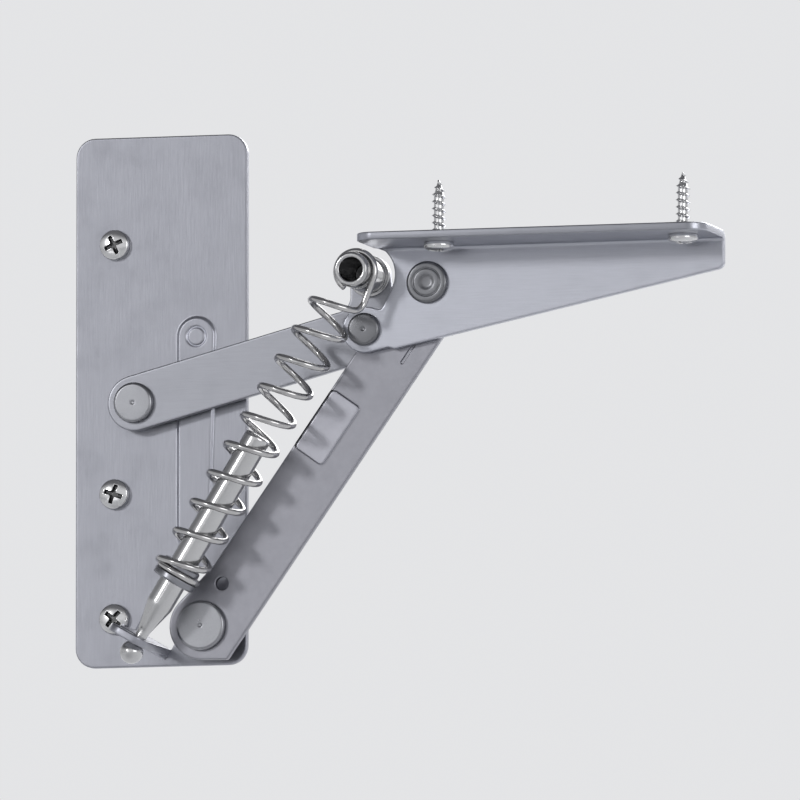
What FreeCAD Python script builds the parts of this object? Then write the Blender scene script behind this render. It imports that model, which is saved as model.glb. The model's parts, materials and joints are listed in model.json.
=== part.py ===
import FreeCAD, Part
import math
import os

import Sketcher

# Cabinet spring hinge for an upward opening flap, in its open position.
# X points out of the cabinet, Z points up and Y runs along the hinge pivots into the side panel.
# The origin is the centre of the side plate's mounting face, and every piece stands on its -Y side.
# Depth means the distance from that face towards the cabinet's inside, so depth is -Y.

# Driving dimensions in millimetres and degrees
SIZES = [
    # side plate
    ("plate_width", 45.5),
    ("plate_height", 136.0),
    ("plate_sheet", 2.0),
    ("plate_corner", 5.0),
    ("screw_inset", 10.5),
    ("bottom_screw_rise", 12.3),
    ("hole_grid", 32.0),
    ("side_hole_radius", 2.3),
    # pressed bead with a round head and an eye
    ("bead_head_x", 9.4),
    ("bead_head_z", 16.3),
    ("bead_head_radius", 4.9),
    ("bead_foot_x", 8.75),
    ("bead_foot_rise", 33.5),
    ("bead_foot_radius", 4.2),
    ("bead_height", 0.6),
    ("bead_wall", 0.8),
    ("bead_eye_radius", 2.2),
    ("bead_eye_width", 0.5),
    # pivots, seen along the hinge axis; an inset or a rise is measured from the plate's nearest edge
    ("upper_pivot_inset", 16.9),
    ("upper_pivot_z", -0.8),
    ("lower_pivot_inset", 9.9),
    ("lower_pivot_rise", 9.4),
    ("bracket_pivot_x", 56.52),
    ("bracket_pivot_z", 15.7),
    ("link_pivot_x", 73.22),
    ("link_pivot_z", 27.21),
    ("post_forward", 0.1),
    ("post_rise", 14.0),
    ("foot_inset", 20.2),
    ("foot_rise", 2.1),
    # layers from the plate to the flap bracket
    ("upper_arm_stand_off", 2.6),
    ("arm_sheet", 2.0),
    ("layer_gap", 0.5),
    ("bracket_sheet", 2.0),
    ("turning_play", 0.05),
    ("side_play", 0.1),
    # upper arm with an ear for the spring post
    ("upper_arm_half_width", 7.1),
    ("ear_radius", 5.3),
    ("crook_radius", 4.0),
    ("crook_back", 9.12),
    ("crook_rise", 9.07),
    # lower arm, drawn upright on the line between its pivots
    ("lower_arm_end_radius", 8.6),
    ("lower_arm_right", 10.5),
    ("lower_arm_left", 6.3),
    ("lower_arm_heel", 3.1),
    ("waist_height", 15.0),
    ("waist_radius", 6.0),
    ("nose_corner", 1.5),
    ("nose_shoulder_drop", 3.9),
    ("nose_right", 5.2),
    ("nose_right_rise", 3.9),
    ("nose_left", 1.2),
    ("nose_left_rise", 4.7),
    ("nose_cheek", 4.1),
    ("nose_cheek_rise", 1.7),
    ("stop_clearance", 0.2),
    ("notch_lip_radius", 0.8),
    ("notch_lip_drop", 4.7),
    ("small_hole_height", 11.8),
    ("small_hole_left", 1.8),
    ("small_hole_radius", 1.7),
    ("step_start", 51.0),
    ("step_length", 17.7),
    ("step_right", 3.0),
    ("step_height", 0.4),
    ("step_corner", 1.2),
    ("step_wall", 1.0),
    ("nick_drop", 21.0),
    ("nick_length", 7.0),
    ("nick_right", 5.0),
    ("nick_width", 0.8),
    ("nick_depth", 0.4),
    # flap bracket with its web beside the arms and its flange under the flap
    ("flange_top", 38.3),
    ("flange_rear", 59.0),
    ("flange_front", 151.0),
    ("flange_reach", 22.0),
    ("flange_corner", 5.0),
    ("bend_radius", 0.9),
    ("lobe_radius", 5.9),
    ("tick_forward", 6.1),
    ("tick_drop", 5.5),
    ("tick_radius", 0.8),
    ("web_heel_forward", 7.8),
    ("web_heel_drop", 5.2),
    ("web_nose_drop", 10.0),
    ("web_nose_corner", 2.0),
    ("post_room", 7.9),
    ("neck_forward", 3.8),
    ("neck_rise", 6.3),
    ("neck_radius", 1.2),
    ("flap_hole_radius", 2.3),
    ("flap_screw_inset", 8.3),
    ("flap_screw_depth", 20.5),
    # rivets, spacers and washers
    ("rivet_radius", 2.5),
    ("rivet_tail_radius", 3.4),
    ("rivet_tail_height", 0.8),
    ("upper_head_radius", 5.2),
    ("lower_head_radius", 6.4),
    ("bracket_head_radius", 4.2),
    ("link_head_radius", 5.4),
    ("head_height", 1.4),
    ("head_edge", 0.5),
    ("upper_spacer_radius", 6.6),
    ("lower_spacer_radius", 6.0),
    ("bracket_spacer_radius", 3.6),
    ("washer_sheet", 0.3),
    ("washer_step", 0.2),
    ("link_washer_radius", 4.8),
    ("dimple_radius", 2.2),
    ("dimple_depth", 0.6),
    # spring post on the upper arm's ear
    ("spring_depth", 20.0),
    ("post_radius", 4.5),
    ("post_bore", 3.0),
    ("post_bore_floor", 1.5),
    ("post_shank_radius", 3.8),
    ("post_tail_radius", 4.5),
    ("post_collar_radius", 5.3),
    ("post_collar_height", 1.2),
    ("post_past_spring", 5.0),
    ("post_edge", 0.5),
    ("post_groove_radius", 4.0),
    ("post_groove_half_width", 1.2),
    # fork on the side plate for the foot of the spring rod
    ("fork_heading", 60.0),
    ("fork_sheet", 2.0),
    ("fork_rise", 2.4),
    ("fork_left", 7.2),
    ("fork_right", 3.5),
    ("fork_reach", 26.0),
    ("fork_corner", 3.5),
    ("fork_slot_half_width", 1.9),
    ("fork_slot_end", 2.0),
    ("fork_bend", 1.0),
    # spring rod, measured from the centre of its ball
    ("ball_radius", 3.0),
    ("ball_facet", 22.5),
    ("rod_neck_radius", 1.6),
    ("rod_neck_end", 6.2),
    ("rod_cone_end", 14.0),
    ("rod_radius", 3.5),
    ("rod_length", 64.0),
    ("rod_edge", 0.6),
    # seat on the rod that holds the spring's end coil
    ("seat_flange_radius", 5.8),
    ("seat_flange", 1.8),
    ("seat_edge", 0.4),
    ("seat_groove_radius", 4.2),
    ("seat_lip_radius", 5.1),
    ("seat_lip", 1.5),
    ("coil_play", 0.1),
    # tension spring, measured along the rod from its ball
    ("wire_radius", 0.85),
    ("coil_radius", 6.15),
    ("coil_pitch", 8.4),
    ("end_coil_radius", 5.2),
    ("end_coil_height", 23.4),
    ("active_coils", 9.57),
    ("hook_radius", 5.05),
    ("hook_turn", 255.0),
    ("hook_bend", 2.3),
    # wood screws with pan heads
    ("screw_head_radius", 3.9),
    ("screw_head_height", 2.3),
    ("screw_head_bevel", 1.0),
    ("screw_neck_radius", 2.1),
    ("screw_neck_length", 2.0),
    ("screw_shank_radius", 1.9),
    ("screw_length", 16.0),
    ("screw_tip", 4.0),
]

doc = FreeCAD.newDocument("CabinetSpringHinge")
sheet = doc.addObject("Spreadsheet::Sheet", "Sizes")
for row, (alias, number) in enumerate(SIZES, start=1):
    sheet.set(f"A{row}", alias)
    sheet.set(f"B{row}", str(number))
    sheet.setAlias(f"B{row}", alias)
doc.recompute()


class Size:
    """A size of the sheet, or a value worked out from such sizes, with the expression that keeps it."""

    def __init__(self, now, text):
        self.now = now
        self.text = text

    def __add__(self, other):
        other = as_size(other)
        return Size(self.now + other.now, f"({self.text} + {other.text})")

    def __sub__(self, other):
        other = as_size(other)
        return Size(self.now - other.now, f"({self.text} - {other.text})")

    def __mul__(self, other):
        other = as_size(other)
        return Size(self.now * other.now, f"({self.text} * {other.text})")

    def __truediv__(self, other):
        other = as_size(other)
        return Size(self.now / other.now, f"({self.text} / {other.text})")

    def __neg__(self):
        return Size(-self.now, f"(-{self.text})")


def as_size(value):
    return value if isinstance(value, Size) else Size(value, repr(value))


def cosine(angle):
    return Size(math.cos(math.radians(angle.now)), f"cos({angle.text})")


def sine(angle):
    return Size(math.sin(math.radians(angle.now)), f"sin({angle.text})")


def distance(start, end):
    dx = end[0] - start[0]
    dz = end[1] - start[1]
    return Size(math.hypot(dx.now, dz.now), f"sqrt({dx.text} ^ 2 + {dz.text} ^ 2)")


def lean(start, end):
    """How far the way from one point to another leans from upright towards X, in degrees."""
    dx = end[0] - start[0]
    dz = end[1] - start[1]
    return Size(math.degrees(math.atan2(dx.now, dz.now)), f"atan2({dx.text}; {dz.text})")


def along_and_left(start, end, point):
    """A point's distance along the line from start to end, and its distance to the line's left."""
    length = distance(start, end)
    ux, uz = (end[0] - start[0]) / length, (end[1] - start[1]) / length
    dx, dz = point[0] - start[0], point[1] - start[1]
    return dx * ux + dz * uz, dz * ux - dx * uz


def turned_point(origin, angle, along, left):
    """The point at a distance along a heading from the origin, and to the heading's left."""
    x = origin[0] + along * cosine(angle) - left * sine(angle)
    z = origin[1] + along * sine(angle) + left * cosine(angle)
    return x, z


size = {alias: Size(number, f"Sizes.{alias}") for alias, number in SIZES}
NOTHING = Size(0.0, "0")

# Pivots as points in the plane across the hinge axis
half_width = size["plate_width"] / 2
half_height = size["plate_height"] / 2
upper_pivot = (size["upper_pivot_inset"] - half_width, size["upper_pivot_z"])
lower_pivot = (half_width - size["lower_pivot_inset"], size["lower_pivot_rise"] - half_height)
bracket_pivot = (size["bracket_pivot_x"], size["bracket_pivot_z"])
link_pivot = (size["link_pivot_x"], size["link_pivot_z"])
post_point = (bracket_pivot[0] + size["post_forward"], bracket_pivot[1] + size["post_rise"])
foot_point = (size["foot_inset"] - half_width, size["foot_rise"] - half_height)

# Depths of the layers
plate_front = size["plate_sheet"]
upper_back = plate_front + size["upper_arm_stand_off"]
upper_front = upper_back + size["arm_sheet"]
lower_back = upper_front + size["layer_gap"]
lower_front = lower_back + size["arm_sheet"]
web_back = lower_front + size["layer_gap"]
web_front = web_back + size["bracket_sheet"]
link_washer_back = web_back - size["washer_sheet"]

# Holes that turn on a rivet, and the three side screws on the cabinet's hole grid
rivet_hole_radius = size["rivet_radius"] + size["turning_play"]
screw_line_x = size["screw_inset"] - half_width
bottom_screw_z = size["bottom_screw_rise"] - half_height
side_screws = {
    "side_screw_top": (screw_line_x, bottom_screw_z + size["hole_grid"] * 3),
    "side_screw_middle": (screw_line_x, bottom_screw_z + size["hole_grid"]),
    "side_screw_bottom": (screw_line_x, bottom_screw_z),
}
flap_screws = {
    "flap_screw_front": size["flange_front"] - size["flap_screw_inset"],
    "flap_screw_rear": size["flange_front"] - size["flap_screw_inset"] - size["hole_grid"] * 2,
}


def new_body(label):
    body = doc.addObject("PartDesign::Body", label)
    body.Label = label
    return body


def place(body, x=NOTHING, y=NOTHING, z=NOTHING, turn=None):
    """Puts a body at a point, and leans it by an angle from +Z towards +X."""
    if turn is not None:
        body.Placement = FreeCAD.Placement(
            FreeCAD.Vector(x.now, y.now, z.now),
            FreeCAD.Rotation(FreeCAD.Vector(0, 1, 0), turn.now),
        )
        body.setExpression("Placement.Rotation.Angle", turn.text)
    body.setExpression("Placement.Base.x", x.text)
    body.setExpression("Placement.Base.y", y.text)
    body.setExpression("Placement.Base.z", z.text)


def new_sketch(body, name, role="XZ_Plane", lift=None):
    """A sketch on one of the body's own planes, moved off that plane where a lift is given."""
    sketch = body.newObject("Sketcher::SketchObject", name)
    plane = next(feature for feature in body.Origin.OriginFeatures if feature.Role == role)
    sketch.AttachmentSupport = [(plane, "")]
    sketch.MapMode = "FlatFace"
    if lift is not None:
        sketch.AttachmentOffset = FreeCAD.Placement(FreeCAD.Vector(0, 0, lift.now), FreeCAD.Rotation())
        sketch.setExpression("AttachmentOffset.Base.z", lift.text)
    return sketch


def bind(sketch, constraint, text):
    index = sketch.addConstraint(constraint)
    sketch.setExpression(f"Constraints[{index}]", text)


def pin_point(sketch, geometry, position, x, z):
    """Dimensions one point of a sketch from the sketch's origin."""
    if x is NOTHING:
        sketch.addConstraint(Sketcher.Constraint("PointOnObject", geometry, position, -2))
    else:
        bind(sketch, Sketcher.Constraint("DistanceX", geometry, position, x.now), x.text)
    if z is NOTHING:
        sketch.addConstraint(Sketcher.Constraint("PointOnObject", geometry, position, -1))
    else:
        bind(sketch, Sketcher.Constraint("DistanceY", geometry, position, z.now), z.text)


def draw_circle(sketch, x, z, radius):
    circle = Part.Circle(FreeCAD.Vector(x.now, z.now, 0), FreeCAD.Vector(0, 0, 1), radius.now)
    index = sketch.addGeometry(circle, False)
    pin_point(sketch, index, 3, x, z)
    bind(sketch, Sketcher.Constraint("Radius", index, radius.now), radius.text)


def tangent_run(start, end):
    """The straight run between two rounds of an outline that is walked with its inside on the left.

    A round is (x, z, radius, side), with side 1 for an outer corner and -1 for an inner one.
    """
    dx = end[0].now - start[0].now
    dz = end[1].now - start[1].now
    reach = end[2].now * end[3] - start[2].now * start[3]
    angle = math.atan2(dz, dx) - math.asin(reach / math.hypot(dx, dz))
    left = FreeCAD.Vector(-math.sin(angle), math.cos(angle), 0)
    leave = FreeCAD.Vector(start[0].now, start[1].now, 0) - left * (start[3] * start[2].now)
    arrive = FreeCAD.Vector(end[0].now, end[1].now, 0) - left * (end[3] * end[2].now)
    return leave, arrive


def draw_outline(sketch, rounds):
    """A closed outline of rounds joined by tangent straight runs; a round with no radius is a corner."""
    count = len(rounds)
    runs = [tangent_run(rounds[n], rounds[(n + 1) % count]) for n in range(count)]
    lines = [sketch.addGeometry(Part.LineSegment(*run), False) for run in runs]
    for n, (x, z, radius, side) in enumerate(rounds):
        before = lines[n - 1]
        after = lines[n]
        if radius is NOTHING:
            sketch.addConstraint(Sketcher.Constraint("Coincident", before, 2, after, 1))
            pin_point(sketch, after, 1, x, z)
            continue
        centre = FreeCAD.Vector(x.now, z.now, 0)
        first, last = runs[n - 1][1] - centre, runs[n][0] - centre
        entry, leaving = 1, 2
        if side < 0:
            first, last = last, first
            entry, leaving = 2, 1
        circle = Part.Circle(centre, FreeCAD.Vector(0, 0, 1), radius.now)
        angles = math.atan2(first.y, first.x), math.atan2(last.y, last.x)
        arc = sketch.addGeometry(Part.ArcOfCircle(circle, *angles), False)
        sketch.addConstraint(Sketcher.Constraint("Tangent", before, 2, arc, entry))
        sketch.addConstraint(Sketcher.Constraint("Tangent", arc, leaving, after, 1))
        bind(sketch, Sketcher.Constraint("Radius", arc, radius.now), radius.text)
        pin_point(sketch, arc, 3, x, z)


def corner(x, z):
    return x, z, NOTHING, 1


def outer(x, z, radius):
    return x, z, radius, 1


def inner(x, z, radius):
    return x, z, radius, -1


def rounded_box(left, low, right, high, radius):
    return [
        outer(left + radius, low + radius, radius),
        outer(right - radius, low + radius, radius),
        outer(right - radius, high - radius, radius),
        outer(left + radius, high - radius, radius),
    ]


def square_box(left, low, right, high):
    return [corner(left, low), corner(right, low), corner(right, high), corner(left, high)]


def pad(body, sketch, length):
    """Raises the sketch along its normal, which is towards the cabinet's inside on the XZ plane."""
    feature = body.newObject("PartDesign::Pad", sketch.Name + "_pad")
    feature.Profile = sketch
    feature.setExpression("Length", length.text)
    return feature


def pocket(body, sketch, length, from_back=False):
    """Cuts against the sketch's normal, or along it when the sketch lies on the back."""
    feature = body.newObject("PartDesign::Pocket", sketch.Name + "_cut")
    feature.Profile = sketch
    feature.Reversed = from_back
    feature.setExpression("Length", length.text)
    return feature


def fillet(body, base, points, radius):
    """Rounds the edges of a feature whose middles lie nearest the given points."""
    doc.recompute()
    edges = base.Shape.Edges
    names = []
    for point in points:
        gaps = [(edge.CenterOfMass - point).Length for edge in edges]
        names.append(f"Edge{gaps.index(min(gaps)) + 1}")
    feature = body.newObject("PartDesign::Fillet", base.Name + "_round")
    feature.Base = (base, names)
    feature.setExpression("Radius", radius.text)
    return feature


def revolve(body, sketch):
    """Turns a half profile once round the sketch's upright axis."""
    feature = body.newObject("PartDesign::Revolution", sketch.Name + "_turned")
    feature.Profile = sketch
    feature.ReferenceAxis = (sketch, ["V_Axis"])
    feature.Angle = 360.0
    return feature


def turned_piece(label, point, profile):
    """A piece turned about a line along the hinge axis.

    The profile's corners are (radius, depth), from the piece's front to its back.
    """
    body = new_body(label)
    place(body, x=point[0], z=point[1])
    sketch = new_sketch(body, label + "_profile", "XY_Plane")
    corners = [corner(radius, depth if depth is NOTHING else -depth) for radius, depth in profile]
    draw_outline(sketch, corners)
    revolve(body, sketch)


def ring(label, point, inside, outside, front, back):
    turned_piece(label, point, [(inside, front), (outside, front), (outside, back), (inside, back)])


def head_profile(radius, under):
    """The front of a flat rivet head with a broken edge, down to its bearing face."""
    front = under + size["head_height"]
    edge = size["head_edge"]
    return [(NOTHING, front), (radius - edge, front), (radius, front - edge), (radius, under)]


def make_side_plate():
    """Stamped mounting plate with a pressed bead, and a bent fork that carries the spring rod."""
    body = new_body("side_plate")
    blank = new_sketch(body, "plate_outline")
    draw_outline(blank, rounded_box(-half_width, -half_height, half_width, half_height, size["plate_corner"]))
    pad(body, blank, plate_front)

    # The fork stands across the rod. The metal it was bent from leaves a window above it.
    turn = size["fork_heading"]
    low = size["fork_rise"]
    high = low + size["fork_sheet"]
    left, right = size["fork_left"], -size["fork_right"]
    section = new_sketch(body, "fork_section")
    ends = [(low, right), (high, right), (high, left), (low, left)]
    draw_outline(section, [corner(*turned_point(foot_point, turn, *end)) for end in ends])
    fork = pad(body, section, size["fork_reach"])
    middle = (left + right) / 2
    foot_x, foot_z = turned_point(foot_point, turn, low, middle)
    bend_point = FreeCAD.Vector(foot_x.now, -plate_front.now, foot_z.now)
    bent = fillet(body, fork, [bend_point], size["fork_bend"])
    tips = [turned_point(foot_point, turn, (low + high) / 2, side) for side in (left, right)]
    tip_points = [FreeCAD.Vector(x.now, -size["fork_reach"].now, z.now) for x, z in tips]
    fillet(body, bent, tip_points, size["fork_corner"])

    window = new_sketch(body, "fork_window")
    far = size["fork_reach"] - size["fork_sheet"] + low - size["fork_corner"]
    window_rounds = [
        corner(*turned_point(foot_point, turn, high, right)),
        outer(*turned_point(foot_point, turn, far, right + size["fork_corner"]), size["fork_corner"]),
        outer(*turned_point(foot_point, turn, far, left - size["fork_corner"]), size["fork_corner"]),
        corner(*turned_point(foot_point, turn, high, left)),
    ]
    draw_outline(window, window_rounds)
    pocket(body, window, plate_front, from_back=True)

    # A slot, open at the left, takes the rod's neck and is narrower than its ball.
    slot = new_sketch(body, "fork_slot", lift=size["spring_depth"] + size["fork_slot_half_width"])
    mouth = left + size["layer_gap"]
    slot_low, slot_high = low - size["layer_gap"], high + size["layer_gap"]
    slot_end = -size["fork_slot_end"]
    ends = [(slot_low, slot_end), (slot_high, slot_end), (slot_high, mouth), (slot_low, mouth)]
    draw_outline(slot, [corner(*turned_point(foot_point, turn, *end)) for end in ends])
    pocket(body, slot, size["fork_slot_half_width"] * 2)

    holes = new_sketch(body, "plate_holes")
    for point in side_screws.values():
        draw_circle(holes, *point, size["side_hole_radius"])
    for point in (upper_pivot, lower_pivot):
        draw_circle(holes, *point, rivet_hole_radius)
    pocket(body, holes, plate_front, from_back=True)

    # The bead stands out at the front, is hollow at the back and has a ring pressed round its eye.
    bead = new_sketch(body, "bead_outline", lift=plate_front)
    draw_outline(bead, bead_rounds(NOTHING))
    pad(body, bead, size["bead_height"])
    hollow = new_sketch(body, "bead_hollow")
    draw_outline(hollow, bead_rounds(size["bead_wall"]))
    pocket(body, hollow, size["bead_height"], from_back=True)
    eye = new_sketch(body, "bead_eye", lift=plate_front + size["bead_height"])
    for radius in (size["bead_eye_radius"], size["bead_eye_radius"] + size["bead_eye_width"]):
        draw_circle(eye, size["bead_head_x"], size["bead_head_z"], radius)
    pocket(body, eye, size["bead_height"] / 2)


def bead_rounds(inset):
    """The bead narrows a little from its round head down to its foot."""
    return [
        outer(size["bead_head_x"], size["bead_head_z"], size["bead_head_radius"] - inset),
        outer(size["bead_foot_x"], size["bead_foot_rise"] - half_height, size["bead_foot_radius"] - inset),
    ]


def make_upper_arm():
    """Flat arm with round ends, and an ear above its front pivot that carries the spring post."""
    body = new_body("upper_arm")
    place(body, x=upper_pivot[0], y=-upper_back, z=upper_pivot[1])
    front_x, front_z = bracket_pivot[0] - upper_pivot[0], bracket_pivot[1] - upper_pivot[1]
    ear_x, ear_z = front_x + size["post_forward"], front_z + size["post_rise"]
    half_width = size["upper_arm_half_width"]
    outline = new_sketch(body, "upper_arm_outline")
    draw_outline(outline, [
        outer(NOTHING, NOTHING, half_width),
        outer(front_x, front_z, half_width),
        outer(ear_x, ear_z, size["ear_radius"]),
        inner(front_x - size["crook_back"], front_z + size["crook_rise"], size["crook_radius"]),
    ])
    pad(body, outline, size["arm_sheet"])
    holes = new_sketch(body, "upper_arm_holes")
    draw_circle(holes, NOTHING, NOTHING, rivet_hole_radius)
    draw_circle(holes, front_x, front_z, rivet_hole_radius)
    draw_circle(holes, ear_x, ear_z, size["post_shank_radius"] + size["turning_play"])
    pocket(body, holes, size["arm_sheet"], from_back=True)


def make_lower_arm():
    """Wide arm with a pressed step, a locating hole and a notch that stops against the front spacer."""
    body = new_body("lower_arm")
    place(body, x=lower_pivot[0], y=-lower_back, z=lower_pivot[1], turn=lean(lower_pivot, link_pivot))
    length = distance(lower_pivot, link_pivot)
    stop_height, stop_left = along_and_left(lower_pivot, link_pivot, bracket_pivot)
    edge = size["lower_arm_left"]
    nose = size["nose_corner"]
    lip = size["notch_lip_radius"]
    outline = new_sketch(body, "lower_arm_outline")
    draw_outline(outline, [
        outer(NOTHING, NOTHING, size["lower_arm_end_radius"]),
        corner(size["lower_arm_right"], -size["lower_arm_heel"]),
        outer(size["lower_arm_right"] - nose, length - size["nose_shoulder_drop"], nose),
        outer(size["nose_right"], length + size["nose_right_rise"], nose),
        outer(-size["nose_left"], length + size["nose_left_rise"], nose),
        outer(-size["nose_cheek"], length + size["nose_cheek_rise"], nose),
        inner(-stop_left, stop_height, size["bracket_spacer_radius"] + size["stop_clearance"]),
        outer(lip - edge, stop_height - size["notch_lip_drop"], lip),
        inner(-edge - size["waist_radius"], size["waist_height"], size["waist_radius"]),
    ])
    pad(body, outline, size["arm_sheet"])
    holes = new_sketch(body, "lower_arm_holes")
    draw_circle(holes, NOTHING, NOTHING, rivet_hole_radius)
    draw_circle(holes, NOTHING, length, rivet_hole_radius)
    draw_circle(holes, -size["small_hole_left"], size["small_hole_height"], size["small_hole_radius"])
    pocket(body, holes, size["arm_sheet"], from_back=True)

    # The step is pushed forward out of the sheet, and leaves a recess of its own depth at the back.
    low, high = size["step_start"], size["step_start"] + size["step_length"]
    step = new_sketch(body, "step_outline", lift=size["arm_sheet"])
    draw_outline(step, rounded_box(-edge, low, size["step_right"], high, size["step_corner"]))
    pad(body, step, size["step_height"])
    wall = size["step_wall"]
    recess = new_sketch(body, "step_recess")
    box = rounded_box(wall - edge, low + wall, size["step_right"] - wall, high - wall, size["step_corner"])
    draw_outline(recess, box)
    pocket(body, recess, size["step_height"], from_back=True)

    nick = new_sketch(body, "nick", lift=size["arm_sheet"])
    start = length - size["nick_drop"]
    right = size["nick_right"]
    draw_outline(nick, square_box(right, start, right + size["nick_width"], start + size["nick_length"]))
    pocket(body, nick, size["nick_depth"])


def make_flap_bracket():
    """Angle bracket bent along its top edge: the web turns on the arms, the flange takes the flap."""
    body = new_body("flap_bracket")
    top = size["flange_top"]
    far = web_back + size["flange_reach"]
    sheet_now = size["bracket_sheet"]
    lobe_rear = bracket_pivot[0] - size["lobe_radius"]
    lobe_low = bracket_pivot[1] - size["lobe_radius"] * 2
    angle = new_sketch(body, "angle_section", "YZ_Plane", lift=lobe_rear)
    bend_inside, bend_outside = size["bend_radius"], size["bend_radius"] + sheet_now
    draw_outline(angle, [
        corner(-web_back, lobe_low),
        outer(-web_back - bend_outside, top - bend_outside, bend_outside),
        corner(-far, top),
        corner(-far, top - sheet_now),
        inner(-web_front - bend_inside, top - sheet_now - bend_inside, bend_inside),
        corner(-web_front, lobe_low),
    ])
    pad(body, angle, size["flange_front"] - lobe_rear)

    # Everything outside the side outline is trimmed off the angle.
    trim = new_sketch(body, "bracket_trim")
    margin = size["post_room"]
    outside = square_box(lobe_rear - margin, lobe_low - margin, size["flange_front"] + margin, top + margin)
    draw_outline(trim, outside)
    draw_outline(trim, [
        outer(*bracket_pivot, size["lobe_radius"]),
        inner(bracket_pivot[0] + size["tick_forward"], bracket_pivot[1] - size["tick_drop"],
              size["tick_radius"]),
        corner(bracket_pivot[0] + size["web_heel_forward"], bracket_pivot[1] - size["web_heel_drop"]),
        outer(size["flange_front"] - size["web_nose_corner"],
              top - size["web_nose_drop"] + size["web_nose_corner"], size["web_nose_corner"]),
        corner(size["flange_front"], top + margin / 2),
        corner(size["flange_rear"], top + margin / 2),
        corner(size["flange_rear"], top),
        inner(*post_point, size["post_room"]),
        inner(bracket_pivot[0] + size["neck_forward"], bracket_pivot[1] + size["neck_rise"],
              size["neck_radius"]),
    ])
    bend_end = web_front + bend_inside
    pocket(body, trim, bend_end, from_back=True)
    rear = new_sketch(body, "flange_end", lift=bend_end)
    draw_outline(rear, square_box(lobe_rear - margin, lobe_low - margin, size["flange_rear"], top + margin))
    trimmed = pocket(body, rear, far - bend_end, from_back=True)

    ends = [size["flange_rear"], size["flange_front"]]
    middle_z = top.now - sheet_now.now / 2
    corners = [FreeCAD.Vector(x.now, -far.now, middle_z) for x in ends]
    fillet(body, trimmed, corners, size["flange_corner"])

    holes = new_sketch(body, "web_holes", lift=web_back)
    draw_circle(holes, *bracket_pivot, rivet_hole_radius)
    draw_circle(holes, *link_pivot, rivet_hole_radius)
    pocket(body, holes, sheet_now, from_back=True)
    flap_holes = new_sketch(body, "flap_holes", "XY_Plane", lift=top)
    for x in flap_screws.values():
        draw_circle(flap_holes, x, -size["flap_screw_depth"], size["flap_hole_radius"])
    pocket(body, flap_holes, sheet_now)


def make_pivots():
    """Rivets with the spacers and washers that keep the arms apart."""
    shank = size["rivet_radius"]
    play = size["side_play"]
    washer_hole = shank + size["turning_play"]

    for name, point, arm_back, arm_front, spacer_radius, head_radius in (
        ("upper_pivot", upper_pivot, upper_back, upper_front,
         size["upper_spacer_radius"], size["upper_head_radius"]),
        ("lower_pivot", lower_pivot, lower_back, lower_front,
         size["lower_spacer_radius"], size["lower_head_radius"]),
    ):
        under = arm_front + play + size["washer_sheet"]
        profile = head_profile(head_radius, under) + [(shank, under), (shank, NOTHING), (NOTHING, NOTHING)]
        turned_piece(name + "_rivet", point, profile)
        ring(name + "_spacer", point, washer_hole, spacer_radius, arm_back - play, plate_front)
        washer_radius = head_radius - size["washer_step"]
        ring(name + "_washer", point, washer_hole, washer_radius, under, arm_front + play)

    # The bracket's rear rivet is fixed in the upper arm, and the web turns on it.
    tail = upper_back - size["rivet_tail_height"]
    under = web_front + play
    turned_piece("bracket_rivet", bracket_pivot, head_profile(size["bracket_head_radius"], under) + [
        (shank, under),
        (shank, upper_back),
        (size["rivet_tail_radius"], upper_back),
        (size["rivet_tail_radius"], tail),
        (NOTHING, tail),
    ])
    ring("bracket_spacer", bracket_pivot, washer_hole, size["bracket_spacer_radius"],
         web_back - play, upper_front)

    # The front rivet rides on the web, and its set tail on the lower arm.
    front = web_front + size["head_height"]
    end = link_washer_back
    turned_piece("link_rivet", link_pivot, [
        (NOTHING, front - size["dimple_depth"]),
        (size["dimple_radius"], front),
        (size["link_head_radius"] - size["head_edge"], front),
        (size["link_head_radius"], front - size["head_edge"]),
        (size["link_head_radius"], web_front),
        (shank, web_front),
        (shank, end),
        (NOTHING, end),
    ])
    ring("link_washer", link_pivot, washer_hole, size["link_washer_radius"], web_back, end)
    turned_piece("link_rivet_tail", link_pivot, [
        (NOTHING, lower_front),
        (shank, lower_front),
        (shank, lower_back),
        (NOTHING, lower_back),
    ])


def make_spring_post():
    """Hollow turned post riveted to the ear, with a collar behind and a groove for the spring's hook."""
    front = size["spring_depth"] + size["post_past_spring"]
    edge = size["post_edge"]
    collar_front = upper_front + size["post_collar_height"]
    tail = upper_back - size["rivet_tail_height"]
    half_groove = size["post_groove_half_width"]
    groove_front = size["spring_depth"] + half_groove
    groove_back = size["spring_depth"] - half_groove
    floor = collar_front + size["post_bore_floor"]
    turned_piece("spring_post", post_point, [
        (size["post_bore"], front),
        (size["post_radius"] - edge, front),
        (size["post_radius"], front - edge),
        (size["post_radius"], groove_front),
        (size["post_groove_radius"], groove_front),
        (size["post_groove_radius"], groove_back),
        (size["post_radius"], groove_back),
        (size["post_radius"], collar_front),
        (size["post_collar_radius"], collar_front),
        (size["post_collar_radius"], upper_front),
        (size["post_shank_radius"], upper_front),
        (size["post_shank_radius"], upper_back),
        (size["post_tail_radius"], upper_back),
        (size["post_tail_radius"], tail),
        (NOTHING, tail),
        (NOTHING, floor),
        (size["post_bore"], floor),
    ])


def leaning_body(label):
    """A body drawn upright whose axis lies from the rod's foot to the spring post."""
    body = new_body(label)
    lean_now = lean(foot_point, post_point)
    place(body, x=foot_point[0], y=-size["spring_depth"], z=foot_point[1], turn=lean_now)
    return body


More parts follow.
